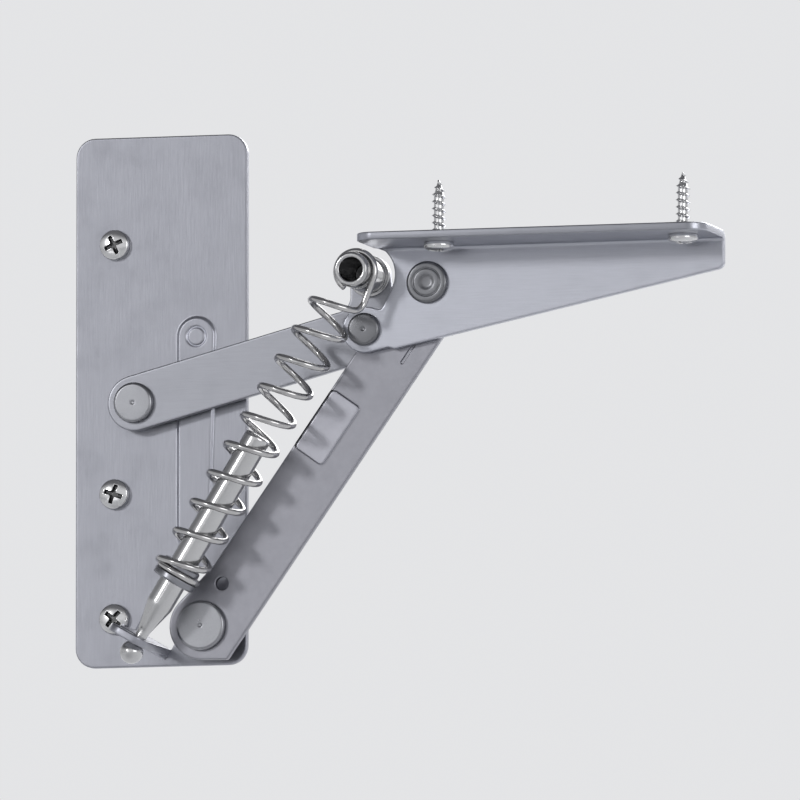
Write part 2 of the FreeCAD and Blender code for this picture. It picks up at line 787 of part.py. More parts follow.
def make_spring_rod():
    """Bright rod with a ball foot; the spring slides over it as the flap closes."""
    body = leaning_body("spring_rod")
    ball = size["ball_radius"]
    neck = size["rod_neck_radius"]
    seat_height = Size(math.sqrt(ball.now ** 2 - neck.now ** 2), f"sqrt({ball.text} ^ 2 - {neck.text} ^ 2)")
    length, edge = size["rod_length"], size["rod_edge"]
    profile = new_sketch(body, "rod_profile")
    facet = size["ball_facet"]
    wide, slim = ball * cosine(facet), ball * sine(facet)
    draw_outline(profile, [
        corner(NOTHING, -wide),
        corner(slim, -wide),
        corner(wide, -slim),
        corner(wide, slim),
        corner(neck, seat_height),
        corner(neck, size["rod_neck_end"]),
        corner(size["rod_radius"], size["rod_cone_end"]),
        corner(size["rod_radius"], length - edge),
        corner(size["rod_radius"] - edge, length),
        corner(NOTHING, length),
    ])
    revolve(body, profile)


def make_spring_seat():
    """Turned sleeve pressed on the rod; the end coil sits in its groove below the lip."""
    body = leaning_body("spring_seat")
    bore = size["rod_radius"] + size["turning_play"]
    half_groove = size["wire_radius"] + size["coil_play"]
    groove_low = size["end_coil_height"] - half_groove
    groove_high = size["end_coil_height"] + half_groove
    low, high = groove_low - size["seat_flange"], groove_high + size["seat_lip"]
    edge = size["seat_edge"]
    profile = new_sketch(body, "seat_profile")
    draw_outline(profile, [
        corner(bore, low),
        corner(size["seat_flange_radius"] - edge, low),
        corner(size["seat_flange_radius"], low + edge),
        corner(size["seat_flange_radius"], groove_low),
        corner(size["seat_groove_radius"], groove_low),
        corner(size["seat_groove_radius"], groove_high),
        corner(size["seat_lip_radius"], groove_high),
        corner(size["seat_lip_radius"], high - edge),
        corner(size["seat_lip_radius"] - edge, high),
        corner(bore, high),
    ])
    revolve(body, profile)


def rounded_turn(before, peak, after, reach):
    """The arc that rounds a corner of a wire, starting and ending at a reach from the corner's peak."""
    first = peak + (before - peak).normalize() * reach
    last = peak + (after - peak).normalize() * reach
    inward = ((first + last) * 0.5 - peak).normalize()
    half_turn = math.pi / 2 - (first - peak).getAngle(last - peak) / 2
    radius = reach / math.tan(half_turn)
    middle = peak + inward * (radius / math.cos(half_turn) - radius)
    return Part.Arc(first, middle, last).toShape(), first, last


def make_tension_spring():
    """Open coil spring of round wire: a narrower end coil, the active coils and a hook round the post.

    The wire's section has six sides, and its middle line is a flat end coil, a helix and a hook.
    """
    radius, pitch = size["coil_radius"].now, size["coil_pitch"].now
    end_radius = size["end_coil_radius"].now
    low = size["end_coil_height"].now
    turns = size["active_coils"].now
    hook_radius = size["hook_radius"].now
    hook_height = distance(foot_point, post_point).now
    upright = FreeCAD.Vector(0, 0, 1)

    # The helix ends just short of the plane of the hook, where the wire turns up.
    last_angle = -math.asin(size["hook_bend"].now / radius)
    first_angle = last_angle - 2 * math.pi * turns
    helix = Part.makeHelix(pitch, pitch * turns, radius)
    helix.rotate(FreeCAD.Vector(0, 0, 0), upright, math.degrees(first_angle))
    helix.translate(FreeCAD.Vector(0, 0, low))

    # The end coil is a flat arc that narrows over half a turn, and stops short of a full turn.
    def flat_arc(centre, arc_radius, start, sweep):
        circle = Part.Circle(centre, upright, arc_radius)
        return Part.ArcOfCircle(circle, start, start + sweep).toShape()

    outward = FreeCAD.Vector(math.cos(first_angle), math.sin(first_angle), 0)
    shift = outward * ((radius - end_radius) / 2)
    level = FreeCAD.Vector(0, 0, low)
    widening = flat_arc(level + shift, (radius + end_radius) / 2, first_angle - math.pi, math.pi)
    narrow = flat_arc(level, end_radius, first_angle - 1.7 * math.pi, 0.7 * math.pi)

    # The hook leaves the coil's end, runs up to the post and wraps round it.
    helix_end = helix.Edges[-1]
    leave = helix_end.valueAt(helix_end.LastParameter)
    ahead = helix_end.tangentAt(helix_end.LastParameter).normalize()
    peak = leave + ahead * (-leave.y / ahead.y)
    hook_centre = FreeCAD.Vector(0, 0, hook_height)
    to_peak = peak - hook_centre
    peak_angle = math.atan2(to_peak.z, to_peak.x)
    touch_angle = peak_angle + math.acos(hook_radius / to_peak.Length)
    touch = hook_centre + FreeCAD.Vector(math.cos(touch_angle), 0, math.sin(touch_angle)) * hook_radius
    reach = (leave - peak).Length
    bend, bend_start, bend_end = rounded_turn(leave, peak, touch, reach)
    riser = Part.LineSegment(bend_end, touch).toShape()
    wrap = math.radians(size["hook_turn"].now)
    middle_angle, end_angle = touch_angle + wrap / 2, touch_angle + wrap
    middle = hook_centre + FreeCAD.Vector(math.cos(middle_angle), 0, math.sin(middle_angle)) * hook_radius
    end = hook_centre + FreeCAD.Vector(math.cos(end_angle), 0, math.sin(end_angle)) * hook_radius
    loop = Part.Arc(touch, middle, end).toShape()

    path = Part.Wire([narrow, widening] + helix.Edges + [bend, riser, loop])
    first_edge = narrow
    start = first_edge.valueAt(first_edge.FirstParameter)
    side = (start - level).normalize()
    wire = size["wire_radius"].now
    corners = [math.pi * (n + 0.5) / 3 for n in range(7)]
    section = Part.makePolygon([start + side * (wire * math.cos(a)) + upright * (wire * math.sin(a))
                                for a in corners])
    solid = path.makePipeShell([section], True, True)
    spring = doc.addObject("Part::Feature", "tension_spring")
    spring.Label = "tension_spring"
    spring.Shape = solid
    spring.Placement = FreeCAD.Placement(
        FreeCAD.Vector(foot_point[0].now, -size["spring_depth"].now, foot_point[1].now),
        FreeCAD.Rotation(FreeCAD.Vector(0, 1, 0), lean(foot_point, post_point).now),
    )


def screw_profile():
    """Radius and height of a pan head screw from its head's top; the head bears at height nothing."""
    head, top = size["screw_head_radius"], size["screw_head_height"]
    shank = size["screw_shank_radius"]
    bevel = size["screw_head_bevel"]
    return [
        corner(NOTHING, -top),
        corner(head - bevel, -top),
        corner(head, bevel - top),
        corner(head, NOTHING),
        corner(size["screw_neck_radius"], NOTHING),
        corner(size["screw_neck_radius"], size["screw_neck_length"]),
        corner(shank, size["screw_neck_length"]),
        corner(shank, size["screw_length"] - size["screw_tip"]),
        corner(NOTHING, size["screw_length"]),
    ]


def make_screws():
    """Wood screws: three through the side plate and two up through the flange into the flap."""
    for name, point in side_screws.items():
        body = new_body(name)
        place(body, x=point[0], y=-plate_front, z=point[1])
        sketch = new_sketch(body, name + "_profile", "XY_Plane")
        draw_outline(sketch, screw_profile())
        revolve(body, sketch)
    for name, x in flap_screws.items():
        body = new_body(name)
        under = size["flange_top"] - size["bracket_sheet"]
        place(body, x=x, y=-size["flap_screw_depth"], z=under)
        sketch = new_sketch(body, name + "_profile")
        draw_outline(sketch, screw_profile())
        revolve(body, sketch)


def check_and_export():
    """Stops on any failed object, then writes each piece to its own file."""
    doc.recompute()
    for item in doc.Objects:
        if "Invalid" in item.State or "Error" in item.State:
            raise RuntimeError(f"{item.Label} failed: {item.State}")
    pieces = [item for item in doc.Objects
              if item.TypeId == "PartDesign::Body" or item.Label == "tension_spring"]
    for piece in pieces:
        if piece.Shape.isNull() or not piece.Shape.isValid() or not piece.Shape.Solids:
            raise RuntimeError(f"{piece.Label} has no sound shape")
    os.makedirs("parts", exist_ok=True)
    for piece in pieces:
        piece.Shape.exportStep(f"parts/{piece.Label}.step")
        print(f"{piece.Label}: {len(piece.Shape.Solids)} solid, {piece.Shape.Volume:.1f} cubic mm")


make_side_plate()
make_upper_arm()
make_lower_arm()
make_flap_bracket()
make_pivots()
make_spring_post()
make_spring_rod()
make_spring_seat()
make_tension_spring()
make_screws()
check_and_export()
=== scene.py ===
import json
import math

import bmesh
import bpy
import numpy as np
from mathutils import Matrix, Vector
from mathutils.geometry import tessellate_polygon


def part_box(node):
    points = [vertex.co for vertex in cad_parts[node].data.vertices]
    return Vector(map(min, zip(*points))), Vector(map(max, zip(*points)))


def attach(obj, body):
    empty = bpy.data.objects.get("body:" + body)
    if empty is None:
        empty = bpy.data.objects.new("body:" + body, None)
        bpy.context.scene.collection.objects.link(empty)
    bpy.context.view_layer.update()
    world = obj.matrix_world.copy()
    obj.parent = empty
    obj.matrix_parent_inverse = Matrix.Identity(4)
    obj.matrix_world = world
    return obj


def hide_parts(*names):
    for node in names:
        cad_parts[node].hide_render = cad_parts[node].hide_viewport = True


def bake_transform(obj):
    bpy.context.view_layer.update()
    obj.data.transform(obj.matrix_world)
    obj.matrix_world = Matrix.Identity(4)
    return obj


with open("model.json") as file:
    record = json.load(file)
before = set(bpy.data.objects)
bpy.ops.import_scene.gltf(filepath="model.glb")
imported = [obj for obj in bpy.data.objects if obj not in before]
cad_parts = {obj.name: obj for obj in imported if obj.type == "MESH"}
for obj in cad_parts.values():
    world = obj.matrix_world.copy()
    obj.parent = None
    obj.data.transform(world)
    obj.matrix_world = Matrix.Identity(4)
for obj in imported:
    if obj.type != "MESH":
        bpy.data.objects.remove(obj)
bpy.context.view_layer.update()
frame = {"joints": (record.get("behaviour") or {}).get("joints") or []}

# Studio. The hinge is seen a little from below and from its front end, through a long lens far away,
# so the pivots look almost flat on. The floor lies well below and lets the view from below through.
MM = 0.001
view_azimuth = math.radians(15.65)
view_elevation = math.radians(-6.1)
view_distance = 5.38
view_width = 0.203
view_target = Vector((66.9, -15.0, -3.0)) * MM
away = Vector((
    math.sin(view_azimuth) * math.cos(view_elevation),
    -math.cos(view_azimuth) * math.cos(view_elevation),
    math.sin(view_elevation),
))
lens = bpy.data.cameras.new("studio_camera")
lens.sensor_width = 36.0
lens.lens = lens.sensor_width * view_distance / view_width
lens.clip_start = 0.5
lens.clip_end = 20.0
camera = bpy.data.objects.new("studio_camera", lens)
bpy.context.scene.collection.objects.link(camera)
camera.location = view_target + away * view_distance
camera.rotation_mode = "QUATERNION"
camera.rotation_quaternion = (-away).to_track_quat("-Z", "Y")
bpy.context.scene.camera = camera
bpy.context.scene.view_settings.view_transform = "Standard"


def soft_lamp(name, stand, size, power):
    """A square soft box on its stand that faces the middle of the hinge."""
    lamp = bpy.data.lights.new(name, "AREA")
    lamp.size = size
    lamp.energy = power
    box = bpy.data.objects.new(name, lamp)
    bpy.context.scene.collection.objects.link(box)
    box.location = stand
    box.rotation_euler = (view_target - Vector(stand)).to_track_quat("-Z", "Y").to_euler()


soft_lamp("key_lamp", (-1.95, -3.7, 1.0), 0.5, 17.5)
soft_lamp("fill_lamp", (1.15, -0.95, 0.15), 0.8, 4.0)
soft_lamp("low_lamp", (-0.19, -0.66, -0.21), 0.3, 0.5)
soft_lamp("back_lamp", (0.5, 1.3, 0.9), 1.2, 20.0)

world = bpy.data.worlds.new("pale_studio")
world.use_nodes = True
bpy.context.scene.world = world
sky = world.node_tree
sky.nodes.clear()
sky_out = sky.nodes.new("ShaderNodeOutputWorld")
room = sky.nodes.new("ShaderNodeBackground")
room.inputs["Color"].default_value = (0.93, 0.94, 0.96, 1.0)
room.inputs["Strength"].default_value = 0.42
backdrop = sky.nodes.new("ShaderNodeBackground")
backdrop.inputs["Strength"].default_value = 0.9


def backdrop_tone(start, start_colour, end, end_colour):
    """A ramp that eases from one colour of the backdrop to another."""
    ramp = sky.nodes.new("ShaderNodeValToRGB")
    ramp.color_ramp.interpolation = "EASE"
    ramp.color_ramp.elements[0].position = start
    ramp.color_ramp.elements[0].color = (*start_colour, 1.0)
    ramp.color_ramp.elements[1].position = end
    ramp.color_ramp.elements[1].color = (*end_colour, 1.0)
    return ramp


# The backdrop is palest ahead and behind, greyer at both sides and dark overhead. The camera and bright
# metal see it, and everything else is lit evenly.
heading = sky.nodes.new("ShaderNodeTexCoord")
heading_parts = sky.nodes.new("ShaderNodeSeparateXYZ")
sideways = sky.nodes.new("ShaderNodeMath")
sideways.operation = "ABSOLUTE"
side_tone = backdrop_tone(0.45, (0.86, 0.865, 0.88), 0.92, (0.60, 0.605, 0.62))
overhead_tone = backdrop_tone(0.22, (1.0, 1.0, 1.0), 0.60, (0.19, 0.19, 0.20))
dimmed = sky.nodes.new("ShaderNodeMix")
dimmed.data_type = "RGBA"
dimmed.blend_type = "MULTIPLY"
dimmed.inputs["Factor"].default_value = 1.0
sky.links.new(heading.outputs["Generated"], heading_parts.inputs[0])
sky.links.new(heading_parts.outputs["X"], sideways.inputs[0])
sky.links.new(sideways.outputs[0], side_tone.inputs["Fac"])
sky.links.new(heading_parts.outputs["Z"], overhead_tone.inputs["Fac"])
sky.links.new(side_tone.outputs["Color"], dimmed.inputs["A"])
sky.links.new(overhead_tone.outputs["Color"], dimmed.inputs["B"])
sky.links.new(dimmed.outputs["Result"], backdrop.inputs["Color"])
rays = sky.nodes.new("ShaderNodeLightPath")
through = sky.nodes.new("ShaderNodeMath")
through.operation = "MAXIMUM"
sky.links.new(rays.outputs["Is Glossy Ray"], through.inputs[0])
sky.links.new(rays.outputs["Is Transmission Ray"], through.inputs[1])
seen = sky.nodes.new("ShaderNodeMath")
seen.operation = "MAXIMUM"
sky.links.new(rays.outputs["Is Camera Ray"], seen.inputs[0])
sky.links.new(through.outputs[0], seen.inputs[1])
shown = sky.nodes.new("ShaderNodeMixShader")
sky.links.new(seen.outputs[0], shown.inputs["Fac"])
sky.links.new(room.outputs[0], shown.inputs[1])
sky.links.new(backdrop.outputs[0], shown.inputs[2])
sky.links.new(shown.outputs[0], sky_out.inputs["Surface"])

floor_level = -0.105
floor_half = 4.0
floor_mesh = bpy.data.meshes.new("studio_floor")
floor_corners = [(-floor_half, -floor_half, floor_level), (floor_half, -floor_half, floor_level),
                 (floor_half, floor_half, floor_level), (-floor_half, floor_half, floor_level)]
floor_mesh.from_pydata(floor_corners, [], [(0, 1, 2, 3)])
floor = bpy.data.objects.new("studio_floor", floor_mesh)
bpy.context.scene.collection.objects.link(floor)
floor_paint = bpy.data.materials.new("studio_floor")
floor_paint.use_nodes = True
floor_tree = floor_paint.node_tree
paint = floor_tree.nodes["Principled BSDF"]
paint.inputs["Base Color"].default_value = (0.84, 0.845, 0.86, 1.0)
paint.inputs["Roughness"].default_value = 0.9
floor_side = floor_tree.nodes.new("ShaderNodeNewGeometry")
clear = floor_tree.nodes.new("ShaderNodeBsdfTransparent")
one_sided = floor_tree.nodes.new("ShaderNodeMixShader")
floor_tree.links.new(floor_side.outputs["Backfacing"], one_sided.inputs["Fac"])
floor_tree.links.new(paint.outputs[0], one_sided.inputs[1])
floor_tree.links.new(clear.outputs[0], one_sided.inputs[2])
floor_tree.links.new(one_sided.outputs[0], floor_tree.nodes["Material Output"].inputs["Surface"])
floor_mesh.materials.append(floor_paint)


# Side plate. A stamped and zinc plated steel sheet with a long pressed bead. Its lower end has a
# tongue bent out as a fork, and three screws hold it flat on its mounting face.


def plated_metal(name, colour, roughness, mottle=0.03, grain=0.05, along=(1.0, 1.0, 1.0), wear=0.4):
    """Plated steel: cloudy tone, fine rolling grain along one direction, and brighter rubbed edges.

    The mesh's own attribute shade, as a share, makes the colour lighter or darker on top of that: it
    carries lighter rubbed edges, and painted shade and painted highlights on some pieces.
    """
    material = bpy.data.materials.new(name)
    material.use_nodes = True
    tree = material.node_tree
    link = tree.links.new
    shader = tree.nodes["Principled BSDF"]
    shader.inputs["Metallic"].default_value = 1.0
    spot = tree.nodes.new("ShaderNodeTexCoord").outputs["Object"]

    def ranged(source, start, end, low, high):
        """A value that goes from low to high as its source goes from start to end, and stops there."""
        limits = tree.nodes.new("ShaderNodeMapRange")
        limits.inputs["From Min"].default_value = start
        limits.inputs["From Max"].default_value = end
        limits.inputs["To Min"].default_value = low
        limits.inputs["To Max"].default_value = high
        link(source, limits.inputs["Value"])
        return limits.outputs["Result"]

    cloud = tree.nodes.new("ShaderNodeTexNoise")
    cloud.inputs["Scale"].default_value = 95.0
    cloud.inputs["Detail"].default_value = 5.0
    cloud.inputs["Roughness"].default_value = 0.62
    link(spot, cloud.inputs["Vector"])

    stretch = tree.nodes.new("ShaderNodeMapping")
    stretch.inputs["Scale"].default_value = along
    link(spot, stretch.inputs["Vector"])
    lines = tree.nodes.new("ShaderNodeTexNoise")
    lines.inputs["Scale"].default_value = 2600.0
    lines.inputs["Detail"].default_value = 3.0
    link(stretch.outputs[0], lines.inputs["Vector"])

    tone = tree.nodes.new("ShaderNodeValToRGB")
    dark = [channel * (1.0 - mottle) for channel in colour]
    light = [min(1.0, channel * (1.0 + mottle)) for channel in colour]
    tone.color_ramp.elements[0].position = 0.32
    tone.color_ramp.elements[0].color = (*dark, 1.0)
    tone.color_ramp.elements[1].position = 0.68
    tone.color_ramp.elements[1].color = (*light, 1.0)
    link(cloud.outputs["Fac"], tone.inputs["Fac"])

    streak = tree.nodes.new("ShaderNodeMix")
    streak.data_type = "RGBA"
    streak.blend_type = "MULTIPLY"
    streak.inputs["Factor"].default_value = 0.18
    link(tone.outputs["Color"], streak.inputs["A"])
    link(ranged(lines.outputs["Fac"], 0.3, 0.7, 0.78, 1.12), streak.inputs["B"])

    edges = tree.nodes.new("ShaderNodeNewGeometry")
    worn = tree.nodes.new("ShaderNodeMix")
    worn.data_type = "RGBA"
    worn.inputs["B"].default_value = (*[min(1.0, channel * 1.45) for channel in colour], 1.0)
    link(ranged(edges.outputs["Pointiness"], 0.52, 0.62, 0.0, wear), worn.inputs["Factor"])
    link(streak.outputs["Result"], worn.inputs["A"])

    # The stored shade: lighter rubbed edges, plus painted shade and painted highlights on some pieces.
    stored = tree.nodes.new("ShaderNodeAttribute")
    stored.attribute_name = "shade"
    lighter = tree.nodes.new("ShaderNodeMath")
    lighter.operation = "ADD"
    lighter.inputs[1].default_value = 1.0
    link(stored.outputs["Fac"], lighter.inputs[0])
    toned = tree.nodes.new("ShaderNodeVectorMath")
    toned.operation = "SCALE"
    link(worn.outputs["Result"], toned.inputs[0])
    link(lighter.outputs[0], toned.inputs["Scale"])
    link(toned.outputs["Vector"], shader.inputs["Base Color"])
    link(ranged(cloud.outputs["Fac"], 0.3, 0.7, roughness * 0.82, roughness * 1.22),
         shader.inputs["Roughness"])

    relief = tree.nodes.new("ShaderNodeBump")
    relief.inputs["Strength"].default_value = grain
    relief.inputs["Distance"].default_value = 0.0003
    link(lines.outputs["Fac"], relief.inputs["Height"])
    link(relief.outputs["Normal"], shader.inputs["Normal"])
    return material


def outline(rounds, grow=0.0, steps=9):
    """Points of a closed outline of rounds joined by tangent straight runs, walked with its inside left.

    A round is (x, z, radius, side). Along it the heading turns evenly from one run's to the next one's,
    and each point lies a radius from the centre, to the right of the heading on side 1, to the left on
    side -1. Growing the outline adds to the radii on side 1 and takes from those on side -1, and none
    falls below a fiftieth of a millimetre.
    """
    centre = np.array([one[:2] for one in rounds], float)
    side = np.array([one[3] for one in rounds], float)
    reach = np.maximum(np.array([one[2] for one in rounds], float) + grow * side, 0.02) * side
    ahead = np.roll(centre, -1, axis=0) - centre
    gap = np.roll(reach, -1) - reach
    heading = np.arctan2(ahead[:, 1], ahead[:, 0]) - np.arcsin(gap / np.hypot(ahead[:, 0], ahead[:, 1]))
    before = np.roll(heading, 1)
    turn = side * ((side * (heading - before)) % (2 * np.pi))
    way = before[:, None] + turn[:, None] * np.linspace(0.0, 1.0, steps)
    left = np.stack([-np.sin(way), np.cos(way)], axis=-1)
    return (centre[:, None] - reach[:, None, None] * left).reshape(-1, 2)


def rounded_box(left, low, right, high, radius):
    """The four rounds of an upright box with equal corners, for an outline."""
    return [(left + radius, low + radius, radius, 1), (right - radius, low + radius, radius, 1),
            (right - radius, high - radius, radius, 1), (left + radius, high - radius, radius, 1)]


def once_round(count):
    """Angles that go evenly once round."""
    return np.linspace(0.0, 2 * np.pi, count, endpoint=False)


def circle(x, z, radius, count=64):
    """Points of a circle, for holes: centre plus radius by cosine and sine."""
    turn = once_round(count)
    return np.stack([x + radius * np.cos(turn), z + radius * np.sin(turn)], axis=-1)


def flat_on_plate(across, depth, upright):
    """A sheet that lies flat in the hinge: across is X, upright is Z and depth is -Y."""
    return np.stack([across, -depth, upright], axis=-1)


def level(points, depth, place):
    """A loop of an outline's points at one depth of a sheet."""
    return place(points[:, 0], np.full(len(points), float(depth)), points[:, 1])


sheet = 2.0
sheet_edge = 0.32
hole_edge = 0.2
flat_margin = 0.3


def rolled_rim(shape, back, front, edge, place, hole=False):
    """Loops from a sheet's back face round its edge to its front face, with quarter rounds at both.

    shape(grow) gives the outline's points; a quarter round moves in by edge * (1 - sine) as it rises by
    edge * (1 - cosine). A hole's rounds widen it instead. The first and last loops lie on the flats.
    """
    quarter = np.linspace(0.0, np.pi / 2, 5)
    inset = np.concatenate([[edge + flat_margin], edge * (1 - np.sin(quarter))])
    rise = np.concatenate([[0.0], edge * (1 - np.cos(quarter))])
    grows = np.concatenate([-inset, -inset[::-1]]) * (-1 if hole else 1)
    depths = np.concatenate([back + rise, front - rise[::-1]])
    return np.stack([level(shape(grow), depth, place) for grow, depth in zip(grows, depths)])


def hole_rim(x, z, radius, back, front, place):
    """Loops through a round hole of a sheet, from its back face to its front face."""
    return rolled_rim(lambda grow: circle(x, z, radius + grow), back, front, hole_edge, place, True)


def pressed_wall(shape, foot, top, spread, place, margin=flat_margin):
    """Loops of the wall of a pressed form: it moves in evenly by spread as its height follows an S curve.

    The first and last loops lie on the flats on either side of the wall.
    """
    t = np.concatenate([[0.0], np.linspace(0.0, 1.0, 9), [1.0]])
    depths = foot + (top - foot) * t ** 2 * (3 - 2 * t)
    grows = spread * (0.5 - t) + margin * np.concatenate([[1.0], np.zeros(9), [-1.0]])
    return np.stack([level(shape(grow), depth, place) for grow, depth in zip(grows, depths)])


def mesh_piece(name, strips, flats, material, body, bends=(), rub=0.0):
    """One mesh from strips, which are grids of loops shaded smooth, and flats, which fill between loops.

    A flat's first loop is its outline and the others are holes. Bends are flats that are shaded smooth.
    Points that meet become one. Rubbed edges are lighter by rub: shade = rub * sin(pi * row / last row).
    """
    points, faces, smooth, shades = [], [], [], []
    start = 0
    for grid in strips:
        rows, columns = grid.shape[:2]
        row = np.arange(rows - 1)[:, None]
        column = np.arange(columns)[None, :]
        beside = (column + 1) % columns
        quads = np.stack([row * columns + column, row * columns + beside,
                          (row + 1) * columns + beside, (row + 1) * columns + column], axis=-1)
        points.append(grid.reshape(-1, 3))
        shades.append(np.repeat(rub * np.sin(np.linspace(0.0, np.pi, rows)), columns))
        faces += (quads.reshape(-1, 4) + start).tolist()
        smooth += [True] * quads[..., 0].size
        start += rows * columns
    for loops, is_bend in [(one, False) for one in flats] + [(one, True) for one in bends]:
        triangles = tessellate_polygon([loop.tolist() for loop in loops])
        points += list(loops)
        shades.append(np.zeros(sum(len(loop) for loop in loops)))
        faces += (np.array(triangles) + start).tolist()
        smooth += [is_bend] * len(triangles)
        start += sum(len(loop) for loop in loops)
    mesh = bpy.data.meshes.new(name)
    mesh.from_pydata((np.concatenate(points) * MM).tolist(), [], faces)
    mesh.polygons.foreach_set("use_smooth", smooth)
    stored = mesh.attributes.new("shade", "FLOAT", "POINT")
    stored.data.foreach_set("value", np.concatenate(shades).astype(np.float32))
    joined = bmesh.new()
    joined.from_mesh(mesh)
    bmesh.ops.remove_doubles(joined, verts=joined.verts, dist=2e-7)
    bmesh.ops.dissolve_degenerate(joined, edges=joined.edges, dist=1e-8)
    bmesh.ops.recalc_face_normals(joined, faces=joined.faces)
    joined.to_mesh(mesh)
    joined.free()
    piece = bpy.data.objects.new(name, mesh)
    bpy.context.scene.collection.objects.link(piece)
    mesh.materials.append(material)
    if body:
        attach(piece, body)
    return piece


def shade_points(piece, shade_of):
    """Adds how much lighter or darker than its finish a piece is at each point, as a share of it.

    shade_of works on all points' x, depth and z at once, in millimetres.
    """
    mesh = piece.data
    places = np.empty(3 * len(mesh.vertices), np.float32)
    mesh.vertices.foreach_get("co", places)
    x, y, z = places.reshape(-1, 3).T / MM
    shades = np.empty(len(mesh.vertices), np.float32)
    mesh.attributes["shade"].data.foreach_get("value", shades)
    shades += np.asarray(shade_of(x, -y, z), np.float32)
    mesh.attributes["shade"].data.foreach_set("value", shades)


def stand_for(node):
    """The piece is shown in place of a solid of the model, whose own mesh is hidden."""
    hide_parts(node)


joint_places = {joint["name"]: np.round(np.array(joint["pos_m"]) / MM, 6)
                for joint in frame["joints"] if "pos_m" in joint}
upper_pivot = joint_places["upper_arm_pivot"][[0, 2]]
lower_pivot = joint_places["lower_arm_pivot"][[0, 2]]
pivot_hole = 2.55
screw_hole = 2.3
side_screw_x = -12.25
side_screw_rows = {"side_screw_top": 40.3, "side_screw_middle": -23.7, "side_screw_bottom": -55.7}
plate_half = (22.75, 68.0)
plate_corner = 5.0
plate_front = sheet
plate_box = rounded_box(-plate_half[0], -plate_half[1], *plate_half, plate_corner)

# The fork stands across the heading of the spring rod, and its own metal came out of the window above.
# A hair's breadth keeps the window and the filled bend off the fork's edges.
foot = joint_places["rod_pivot"]
hair = 0.05
fork_heading = math.radians(60.0)
fork_along = np.array((math.cos(fork_heading), math.sin(fork_heading)))
fork_left = np.array((-math.sin(fork_heading), math.cos(fork_heading)))
fork_low = 2.4
fork_high = fork_low + sheet
fork_tip = 26.0
fork_sides = (-3.5, 7.2)
fork_corner = 3.5


def by_the_fork(along, left):
    """A point of the plate from its distance along the fork's heading and to the heading's left."""
    return foot[[0, 2]] + fork_along * along + fork_left * left


window_end = fork_tip - plate_front + fork_low - fork_corner
window = [(*by_the_fork(fork_high + hair, fork_sides[0] + hair), hair, 1),
          (*by_the_fork(window_end, fork_sides[0] + fork_corner), fork_corner, 1),
          (*by_the_fork(window_end, fork_sides[1] - fork_corner), fork_corner, 1),
          (*by_the_fork(fork_high + hair, fork_sides[1] - hair), hair, 1)]
plate_edge = rolled_rim(lambda grow: outline(plate_box, grow), 0.0, plate_front, sheet_edge, flat_on_plate)
window_edge = rolled_rim(lambda grow: outline(window, grow), 0.0, plate_front, hole_edge, flat_on_plate,
                         True)
plate_rims = [plate_edge, window_edge]
plate_rims += [hole_rim(side_screw_x, row, screw_hole, 0.0, plate_front, flat_on_plate)
               for row in side_screw_rows.values()]
plate_rims += [hole_rim(*pivot, pivot_hole, 0.0, plate_front, flat_on_plate)
               for pivot in (upper_pivot, lower_pivot)]

# The bead is pressed from behind, so its back is the same form a little smaller. A struck ring of two
# radii and depths lies at its upper end.
bead_eye = (9.4, 16.3)
bead = [(*bead_eye, 4.9, 1), (8.75, -34.5, 4.2, 1)]
bead_height = 0.6
bead_top = plate_front + bead_height
bead_spread = 0.9
bead_back_inset = 0.8
bead_wall = pressed_wall(lambda grow: outline(bead, grow, 25), plate_front, bead_top, bead_spread,
                         flat_on_plate)
bead_back = pressed_wall(lambda grow: outline(bead, grow - bead_back_inset, 25), 0.0, bead_height,
                         bead_spread, flat_on_plate)
ring_profile = [(3.15, 0.0), (2.85, 0.0), (2.72, 0.05), (2.62, 0.2), (2.5, 0.27), (2.35, 0.27), (2.23, 0.2),
                (2.13, 0.05), (2.0, 0.0), (1.7, 0.0)]
ring_groove = np.stack([level(circle(*bead_eye, radius), bead_top - sink, flat_on_plate)
                        for radius, sink in ring_profile])


def on_the_fork(across, thickness, depth):
    """The fork's sheet: across is to the rod's left, thickness is along the heading, depth is -Y."""
    at = foot[[0, 2]] + np.outer(thickness, fork_along) + np.outer(across, fork_left)
    return np.stack([at[:, 0], -depth, at[:, 1]], axis=-1)


slot_depth, slot_half, slot_end, slot_round = -foot[1], 1.9, -2.0, 0.7
root_depth, root_round = 0.9, 0.4
fork = [(fork_sides[0] + root_round, root_depth, root_round, 1),
        (fork_sides[1] - root_round, root_depth, root_round, 1),
        (fork_sides[1] - slot_round, slot_depth - slot_half - slot_round, slot_round, 1),
        (slot_end + slot_half, slot_depth, slot_half, -1),
        (fork_sides[1] - slot_round, slot_depth + slot_half + slot_round, slot_round, 1),
        (fork_sides[1] - fork_corner, fork_tip - fork_corner, fork_corner, 1),
        (fork_sides[0] + fork_corner, fork_tip - fork_corner, fork_corner, 1)]
fork_rim = rolled_rim(lambda grow: outline(fork, grow), fork_low, fork_high, sheet_edge, on_the_fork)

# Inside the bend the metal flows from the plate into the fork's underside in a quarter round.
inner_turn = np.linspace(0.0, np.pi / 2, 9)
inner_radius = 1.1
inner_sink = 0.4
inner_section = np.concatenate([
    np.stack([fork_low - inner_radius + inner_radius * np.sin(inner_turn),
              plate_front + inner_radius - inner_radius * np.cos(inner_turn)], axis=-1),
    [(fork_low + inner_sink, plate_front + inner_radius), (fork_low + inner_sink, plate_front - inner_sink),
     (fork_low - inner_radius, plate_front - inner_sink)]])
inner_ends = np.repeat((fork_sides[0] + hair, fork_sides[1] - hair), 2)
inner_core = inner_section * 0 + inner_section.mean(axis=0)
inner_rows = np.stack([inner_core, inner_section, inner_section, inner_core])
inside_bend = np.stack([on_the_fork(np.full(len(row), left), row[:, 0], row[:, 1])
                        for left, row in zip(inner_ends, inner_rows)])

